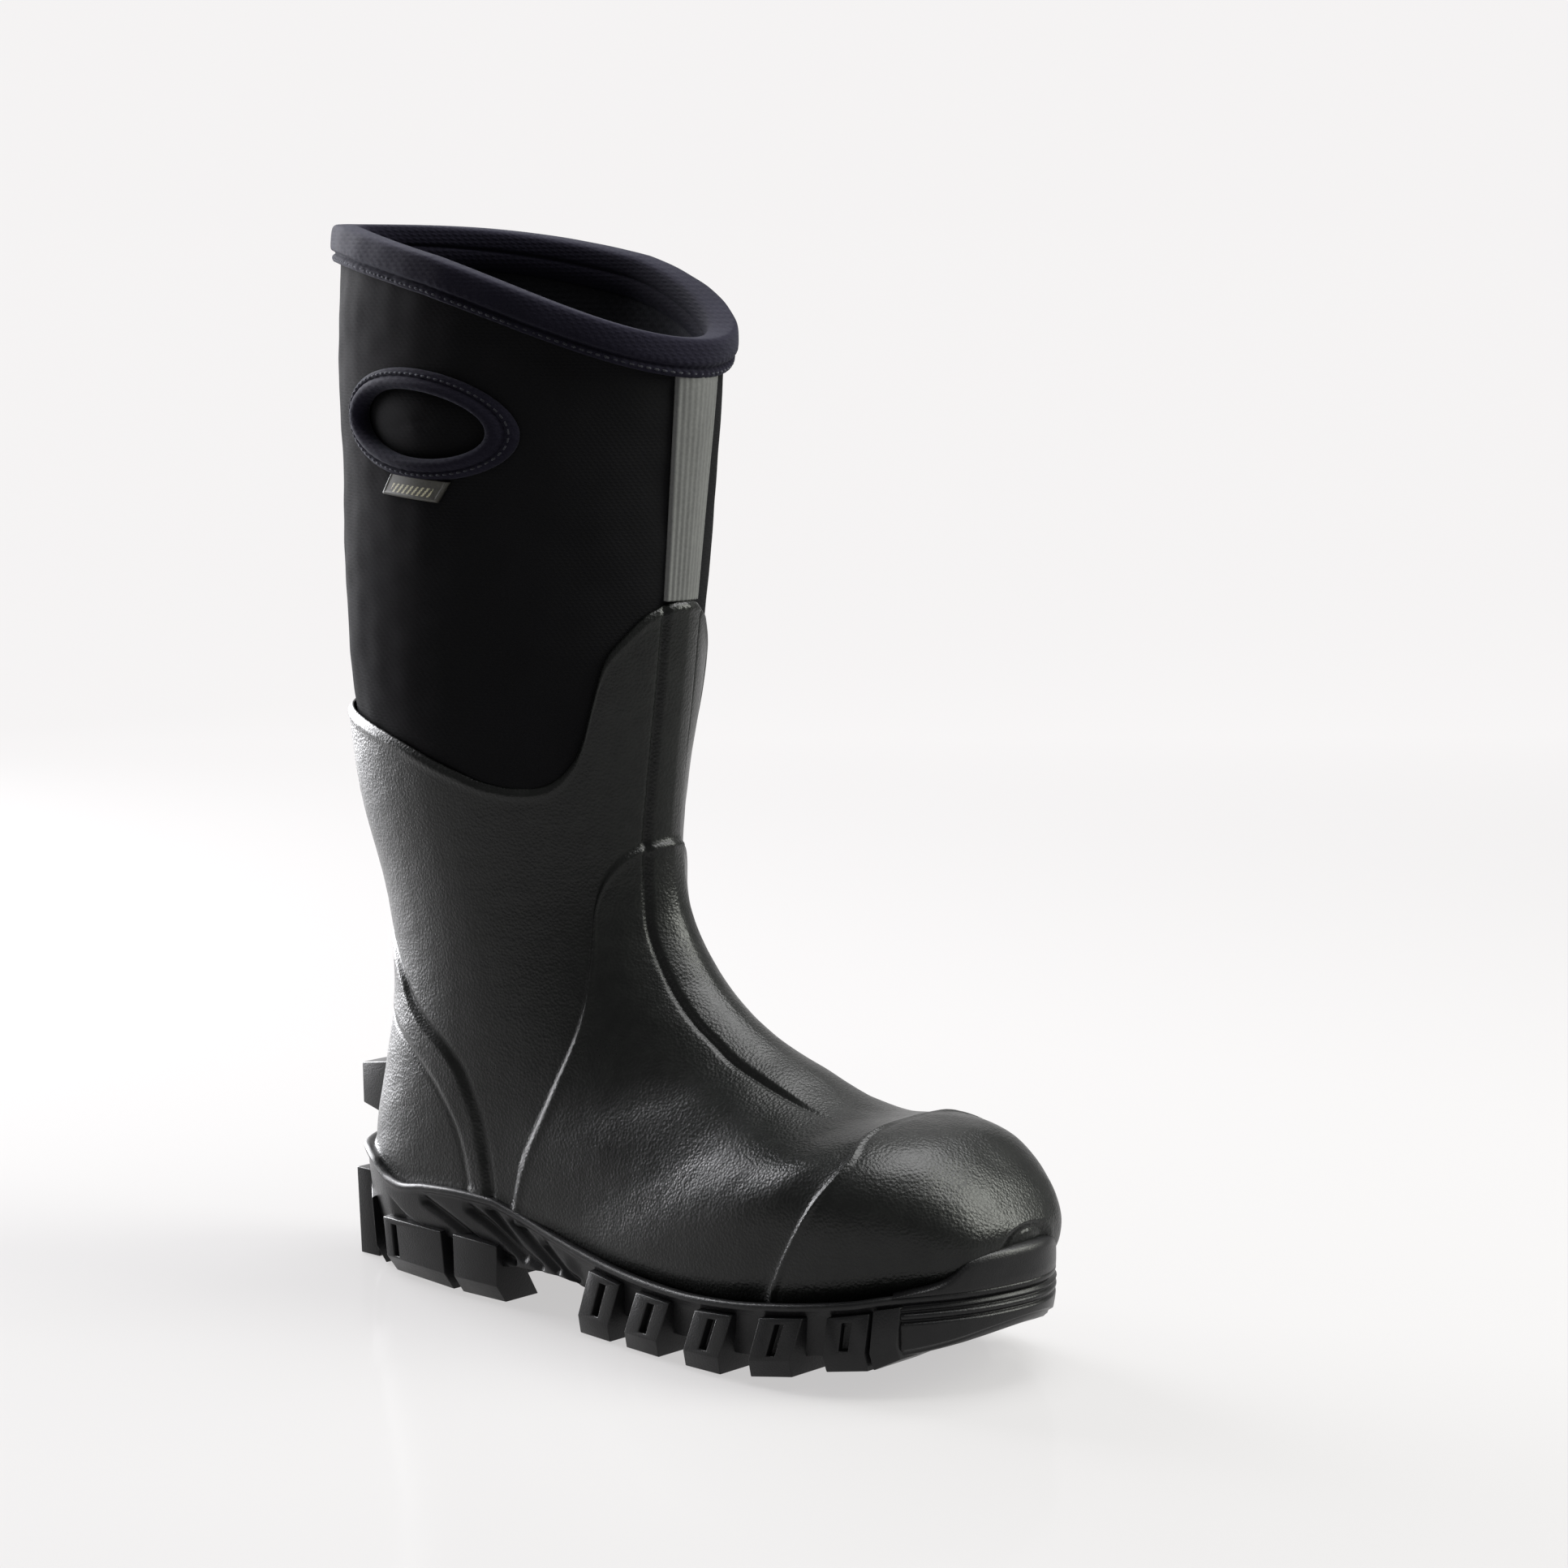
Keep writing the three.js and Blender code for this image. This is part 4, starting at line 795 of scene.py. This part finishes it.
def outsole_body():
    count = 1000
    pts, normal = outline_points(count)
    x, y = pts[:, 0], pts[:, 1]
    lip, web = smooth_table(LIP_TOP, x), smooth_table(WEB, x)
    span = lip - web
    levels = [(-9, -3), (-3.2, .1), (-1.6, .55), (-.4, .45), (.35, -.1), (.55, -.9), (.3, -1.8), (-.35, -2.4),
              (-.9, -2.9), (-1.15, -3.6)]
    rings = [np.column_stack([pts + normal * inset, lip + drop]) for inset, drop in levels]
    steps = 44
    heel = ease((x - 40) / 5) * ease((140 - x) / 6) * (y < 0)
    toe = ease((x - 288.5) / 1.2)
    for k in range(1, steps + 1):
        f = k / steps
        z = lip - 3.6 - (span - 3.6) * f
        down = lip - z
        fore = ease((x - 142) / 4) * ease((284 - x) / 4)
        out = -1.15 - 1.6 * f ** 2.2 - 3.5 * f ** 1.5 * ease((100 - x) / 12) - 3.4 * fore * f ** .6
        out = out + toe * (2.0 - 1.3 * bump((down - 5.2) / .7) - 1.3 * bump((down - 8.4) / .7)
                           - 1.5 * ease((f - .9) * 20))
        # Smooth quarter panel at the heel, then flutes slanting down and forward.
        panel = smooth_table(([30, 36, 46, 58, 70, 84, 140], [5, 7, 12, 17, 19.5, 21.5, 21.5]), x)
        under = ease((down - panel) / .8)
        out = out - heel * under * ease((90 - x) / 6) * 1.6
        groove = np.zeros(count)
        for line in FLUTES:
            for a, b in zip(line[:-1], line[1:]):
                dx, dz = b[0] - a[0], b[1] - a[1]
                t = np.clip(((x - a[0]) * dx + (z - a[1]) * dz) / (dx * dx + dz * dz), 0, 1)
                gap = np.hypot(x - a[0] - t * dx, z - a[1] - t * dz)
                groove = np.maximum(groove, bump(gap / FLUTE_HALF))
        out = out - FLUTE_DEPTH * groove
        rings.append(np.column_stack([pts + normal * np.asarray(out)[:, None], z]))
    axis = np.column_stack([np.clip(x, 42, 262), np.interp(x, [40, 150, 262], [0, 3, 8])])
    edge = rings[-1]
    for f in (.03, .08, .25, .5, .75, 1):
        flat = edge[:, :2] * (1 - f) + axis * f
        rings.append(np.column_stack([flat, smooth_table(WEB, flat[:, 0])]))
    return np.array(rings)


def lug_box(bm, outer_low, outer_high, inner_low, inner_high, slot):
    """Lug with eight corners; the outer face may carry a recess."""
    corners = [*outer_low, *outer_high[::-1], *inner_low, *inner_high[::-1]]
    verts = [bm.verts.new(Vector(to_frame(c))) for c in corners]
    a, b, c, d, e, f, g, h = verts
    faces = [bm.faces.new(v) for v in ((a, b, c, d), (f, e, h, g), (e, f, b, a),
                                       (f, g, c, b), (g, h, d, c), (h, e, a, d))]
    bmesh.ops.recalc_face_normals(bm, faces=faces)
    if slot:
        bmesh.ops.inset_region(bm, faces=[faces[0]], thickness=slot[0] / 1000, use_even_offset=True)
        inner = faces[0]
        bmesh.ops.inset_region(bm, faces=[inner], thickness=.0004, depth=-slot[1] / 1000)
    return faces


# Lengthwise span on the ground, forward lean at the top and inset at the ground, heel to toe.
SIDE_LUGS = [(5, 22, 0, 5), (33, 70, 0, 5), (75, 98, 2, 5), (147.6, 164.5, 6.8, 0), (173.5, 191, 7, 0),
             (205, 222.5, 6.5, 0), (236, 253, 5, 0), (265, 278.8, 1.5, 0), (280.5, 288, 1, 0)]
# Slot in a side lug's face: share of its length, then of its height, by where the lug starts.
SLOTS = {33: (.13, .22, .05, .86), 147.6: (.4, .62, .1, .86), 173.5: (.4, .62, .1, .86),
         205: (.4, .62, .1, .86), 236: (.4, .6, .1, .86), 265: (.38, .6, .12, .84)}
CENTRE_LUGS = [(16, 36), (48, 74), (150, 164), (178, 193), (208, 223), (234, 248)]


def outsole_lugs():
    bm = bmesh.new()
    pts, _ = outline_points(1200)
    for side in (1, -1):
        half = pts[pts[:, 1] * side < 0]

        def edge(x, out):
            i = np.argmin(np.abs(half[:, 0] - x))
            return half[i, 1] - side * out

        for x0, x1, lean, tuck in SIDE_LUGS:
            heel, toe = x1 < 100, x0 > 260
            stand = .4 if heel else (1.2 if toe else 2.0)
            ends = []
            for x in (x0, x1):
                ground = float(smooth_table(GROUND, x))
                top = float(smooth_table(LIP_TOP, x + lean)) - (17 if heel else 4.4)
                if x0 > 280:
                    top = float(smooth_table(LIP_TOP, x)) - 3.2
                shoulder = ground + (top - ground) * .3
                ends.append(((x, edge(x, stand) + side * (2.6 + tuck), ground),
                             (x + lean * .2, edge(x + lean * .2, stand) + side * tuck * .5, shoulder),
                             (x + lean, edge(x + lean, stand * .55) + side * tuck * .1, top),
                             (x, edge(x, 0) + side * 24, ground),
                             (x + lean, edge(x + lean, 0) + side * 9, top + 1)))
            (l0, s0, t0, i0, j0), (l1, s1, t1, i1, j1) = ends
            corners = [l0, l1, s1, s0, t1, t0, i0, i1, j1, j0]
            v = [bm.verts.new(Vector(to_frame(c))) for c in corners]
            l0, l1, s1, s0, t1, t0, i0, i1, j1, j0 = v
            face = bm.faces.new((s0, s1, t1, t0))
            for loop in ((l0, l1, s1, s0), (t0, t1, j1, j0), (i1, i0, j0, j1), (l1, l0, i0, i1),
                         (l1, i1, j1, t1, s1), (i0, l0, s0, t0, j0)):
                bm.faces.new(loop)
            bmesh.ops.recalc_face_normals(bm, faces=list(bm.faces))
            slot = SLOTS.get(x0)
            if slot is None:
                continue
            c00, c10, c11, c01 = (v.co.copy() for v in (s0, s1, t1, t0))
            bmesh.ops.inset_region(bm, faces=[face], thickness=.0012, use_even_offset=True)
            across, up = (c10 - c00 + c11 - c01).normalized(), (c01 - c00 + c11 - c10).normalized()
            middle = (c00 + c10 + c11 + c01) / 4
            for vert in face.verts:
                f = slot[1] if (vert.co - middle).dot(across) > 0 else slot[0]
                g = slot[3] if (vert.co - middle).dot(up) > 0 else slot[2]
                vert.co = (c00 * (1 - f) + c10 * f) * (1 - g) + (c01 * (1 - f) + c11 * f) * g
            bmesh.ops.inset_region(bm, faces=[face], thickness=.0002, depth=-.0034)
    for x0, x1 in CENTRE_LUGS:
        g0, g1 = float(table(GROUND, x0)), float(table(GROUND, x1))
        w0, w1 = float(table(WEB, x0)) + 2, float(table(WEB, x1)) + 2
        lug_box(bm, ((x0, -13, g0), (x1, -13, g1)), ((x0, -15, w0), (x1, -15, w1)),
                ((x0, 15, g0), (x1, 15, g1)), ((x0, 17, w0), (x1, 17, w1)), None)
    for y0, y1 in ((-22, -12), (-5, 5), (12, 22)):
        lug_box(bm, ((2.5, y0, 0), (13, y0, 0)), ((.6, y0, 34), (12, y0, 34)),
                ((2.5, y1, 0), (13, y1, 0)), ((.6, y1, 34), (12, y1, 34)), None)
    mesh = bpy.data.meshes.new("outsole_lugs")
    bm.to_mesh(mesh)
    bm.free()
    return mesh


def outsole():
    p = outsole_body()
    obj = grid_object("outsole", p, loop_cols=True)
    lugs = bpy.data.objects.new("outsole_lugs", outsole_lugs())
    bpy.context.scene.collection.objects.link(lugs)
    modifier = lugs.modifiers.new("round", "BEVEL")
    modifier.width = .0008
    modifier.segments = 3
    modifier.limit_method = "ANGLE"
    modifier.angle_limit = math.radians(25)
    lugs.data.polygons.foreach_set("use_smooth", np.ones(len(lugs.data.polygons), bool))
    finish_piece(obj, MAT["tread_rubber"], ["outsole"])
    finish_piece(lugs, MAT["tread_rubber"], None)


def toe_bumper():
    pts, normal = outline_points(1400)
    keep = pts[:, 0] > 286.5
    # Starts and ends where the lip steps up, on either side of the tip.
    order = np.arange(len(pts))[keep]
    pts, normal = pts[order], normal[order]
    x = pts[:, 0]
    lip = smooth_table(LIP_TOP, x)
    top = np.maximum(smooth_table(BUMPER_TOP, x), lip + .15)
    rings = []
    for inset, f, drop in ((-9, 1, -.6), (-3.5, 1, .25), (-1.9, 1, .3), (-.6, 1, -.1), (.3, 1, -.8),
                           (.55, .8, -.6),
                           (.6, .5, 0), (.6, .25, 0), (.55, 0, .2), (-.2, 0, -.3), (-3, 0, -.5)):
        z = lip + (top - lip) * f + drop * np.clip((top - lip) / 3, 0, 1)
        rings.append(np.column_stack([pts + normal * inset, z]))
    obj = grid_object("toe_bumper", np.array(rings))
    finish_piece(obj, MAT["tread_rubber"], ["toe_bumper"])


def kick_spur():
    bm = bmesh.new()
    lug_box(bm, ((-6.3, -12, 57), (-6.3, 12, 57)), ((-7.3, -11.5, 73), (-7.3, 11.5, 73)),
            ((14, -14, 53), (14, 14, 53)), ((17, -14, 77), (17, 14, 77)), (3.5, 1.2))
    mesh = bpy.data.meshes.new("kick_spur")
    bm.to_mesh(mesh)
    bm.free()
    obj = bpy.data.objects.new("kick_spur", mesh)
    bpy.context.scene.collection.objects.link(obj)
    mesh.polygons.foreach_set("use_smooth", np.ones(len(mesh.polygons), bool))
    modifier = obj.modifiers.new("round", "BEVEL")
    modifier.width = .0012
    modifier.segments = 3
    finish_piece(obj, MAT["tread_rubber"], ["kick_spur"])


# ---- Inside ----
def floor_sheet(name, low, high, slot_name, body, nodes):
    """Insole piece on the sock's floor, edges rounded and the heel slightly cupped."""
    rows, cols = 90, 46
    u = np.linspace(9.35, 14.9, rows)[:, None]
    t = np.linspace(-1, 1, cols)[None]
    uu = u + 0 * t
    end = np.clip(np.minimum(u - 9.35, 14.9 - u) / .22, 0, 1)
    squeeze = .72 + .28 * np.sqrt(1 - (1 - end) ** 2)
    base = at(uu, 180 + 45 * t * squeeze, 9.6)
    edge = np.clip((1 - np.abs(t)) / .08, 0, 1) ** .5 * np.clip(end * 3 + .15, 0, 1)
    lift = low + (high - low) * (.25 + .75 * edge)
    upper, under = base.copy(), base.copy()
    upper[..., 2] += lift
    under[..., 2] += low
    obj = slab_object(name, upper, under)
    finish_piece(obj, MAT[slot_name], nodes, body)


def bare_layer(name, depth_out, depth_in, stations, angles, slot_name, loop=True):
    a, s = np.meshgrid(angles, stations)
    outer = at(s, a, depth_out(s) if callable(depth_out) else depth_out)
    if loop:
        obj = grid_object(name, outer, loop_cols=True, cap_last=True)
    else:
        obj = slab_object(name, outer, at(s, a, depth_in))
    finish_piece(obj, MAT[slot_name], [name])


def inner_pieces():
    round_angles = np.linspace(0, 360, 120, endpoint=False)
    bare_layer("foot_bootie", lambda s: 2.4 + 2.7 * np.clip((s - 12.3) / .5, 0, 1), 6.8,
               np.linspace(4.6, 16, 110), round_angles, "neoprene")
    bare_layer("steel_toe_cap", 2.4, 4.4, np.concatenate([np.linspace(12.9, 16.6, 60)]),
               np.linspace(-134, 134, 90), "steel", loop=False)
    floor_sheet("insole_board", 0, 1.5, "insole_board", BOOT, ["insole_board"])
    floor_sheet("footbed_foam", 1.8, 6.3, "footbed_foam", FOOTBED, ["footbed_foam"])
    floor_sheet("footbed_cover", 6.6, 7.4, "footbed_fabric", FOOTBED, ["footbed_cover"])
    for node, slot_name in (("puncture_plate", "steel"), ("steel_shank", "steel"),
                            ("midsole_cushion", "midsole_foam")):
        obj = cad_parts[node]
        obj.data.materials.clear()
        obj.data.materials.append(MAT[slot_name])


rubber_foot()
shaft_panel(1, "shaft_panel_lateral")
shaft_panel(-1, "shaft_panel_medial")
lining()
collar_binding()
collar_stitching()
for word, hand in (("lateral", 1), ("medial", -1)):
    handle_ring(hand, f"handle_ring_{word}")
    handle_backing(hand, f"handle_backing_{word}")
    handle_stitching(hand, f"handle_stitching_{word}")
front_strip()
label_tab()
outsole()
toe_bumper()
kick_spur()
inner_pieces()


# ---- Studio ----
def stage_floor():
    """Pale sweep: floor, curve and wall in one sheet. It glows, most of all where the wall is."""
    n = Nodes("studio_paper", (.34, .337, .337), .32)
    n.set(n.shader, {"Specular IOR Level": 0, "Coat Weight": .1, "Coat Roughness": .12,
                     "Emission Color": (.905, .89, .89, 1)})
    look = Vector((-.689, .725, 0)).normalized()
    split = n.add("ShaderNodeVectorMath", operation="DOT_PRODUCT")
    n.link(n.place, split, 0)
    split.inputs[1].default_value = look
    far = n.ramp(split.outputs["Value"], .1, 1.7, 0, 1)
    aside = n.add("ShaderNodeVectorMath", operation="DOT_PRODUCT")
    n.link(n.place, aside, 0)
    aside.inputs[1].default_value = Vector((look.y, -look.x, 0))
    offside = n.maths("SUBTRACT", n.maths("ABSOLUTE", aside.outputs["Value"], 0),
                      n.maths("MULTIPLY", split.outputs["Value"], .22))
    away = n.add("ShaderNodeVectorMath", operation="LENGTH")
    n.link(n.place, away, 0)
    near = n.ramp(away.outputs["Value"], .5, 3.5, 1, 0)
    paper = n.mix_colour(near, (.05, .05, .05), (.11, .109, .109))
    glow = n.maths("ADD", n.maths("MULTIPLY", far, .38), .62)
    shade = n.maths("MAXIMUM", n.ramp(away.outputs["Value"], .5, 3.2, 1, .3),
                    n.ramp(offside, .45, 1.5, 1, .3))
    behind = n.ramp(split.outputs["Value"], -2.0, -.3, .3, 1)
    n.link(n.maths("MULTIPLY", glow, n.maths("MULTIPLY", shade, behind)), n.shader, "Emission Strength")
    mix = n.add("ShaderNodeMix", data_type="RGBA")
    n.tree.links.new(far, mix.inputs[0])
    n.tree.links.new(paper, mix.inputs[6])
    mix.inputs[7].default_value = (.02, .02, .02, 1)
    n.use(colour=mix.outputs[2])
    profile = [(-4, 0), (3.2, 0)]
    for k in range(1, 13):
        w = k / 12 * math.pi / 2
        profile.append((3.2 + 1.6 * math.sin(w), 1.6 - 1.6 * math.cos(w)))
    profile.append((4.8, 6))
    wide = Vector((look.y, -look.x, 0))
    verts, faces = [], []
    for d, z in profile:
        for w in (-7, 7):
            p = look * d + wide * w
            verts.append((p.x, p.y, z - .0004))
    for i in range(len(profile) - 1):
        faces.append((2 * i, 2 * i + 1, 2 * i + 3, 2 * i + 2))
    mesh = bpy.data.meshes.new("studio_floor")
    mesh.from_pydata(verts, [], faces)
    obj = bpy.data.objects.new("studio_floor", mesh)
    bpy.context.scene.collection.objects.link(obj)
    for poly in mesh.polygons:
        poly.use_smooth = True
    mesh.materials.append(n.material)


def area_light(name, place, target, size, power, colour=(1, 1, 1)):
    data = bpy.data.lights.new(name, "AREA")
    data.shape = "RECTANGLE"
    data.size, data.size_y = size
    data.energy = power
    data.color = colour
    obj = bpy.data.objects.new(name, data)
    obj.location = place
    obj.rotation_euler = (Vector(target) - Vector(place)).to_track_quat("-Z", "Y").to_euler()
    bpy.context.scene.collection.objects.link(obj)
    return obj


# Fitted to the photo: place and target in the millimetre layout, lens and sensor in mm.
CAMERA_PLACE = (1119.5, -1019.9, 388.9)
CAMERA_TARGET = (180.2, 28.0, 196.3)
CAMERA_LENS, CAMERA_SENSOR = 89.43, 36


def camera():
    data = bpy.data.cameras.new("camera")
    data.lens = CAMERA_LENS
    data.sensor_width = CAMERA_SENSOR
    data.clip_end = 50
    obj = bpy.data.objects.new("camera", data)
    place = Vector(to_frame(CAMERA_PLACE))
    target = Vector(to_frame(CAMERA_TARGET))
    obj.location = place
    obj.rotation_euler = (target - place).to_track_quat("-Z", "Y").to_euler()
    bpy.context.scene.collection.objects.link(obj)
    bpy.context.scene.camera = obj


camera()
stage_floor()
area_light("key_back_left", (-1.5, .08, .6), (0, 0, .18), (1.0, 1.5), 105, (.97, .97, 1))
area_light("soft_top", (.35, .4, 2.0), (.08, 0, 0), (1.5, 1.5), 72)
area_light("front_right", (1.4, .95, 1.2), (0, 0, .2), (.9, 1.1), 52, (.98, 1, .92))
world = bpy.data.worlds.new("studio")
world.use_nodes = True
world.node_tree.nodes["Background"].inputs["Color"].default_value = (.9, .9, .9, 1)
world.node_tree.nodes["Background"].inputs["Strength"].default_value = .28
bpy.context.scene.world = world
bpy.context.scene.view_settings.view_transform = "Standard"
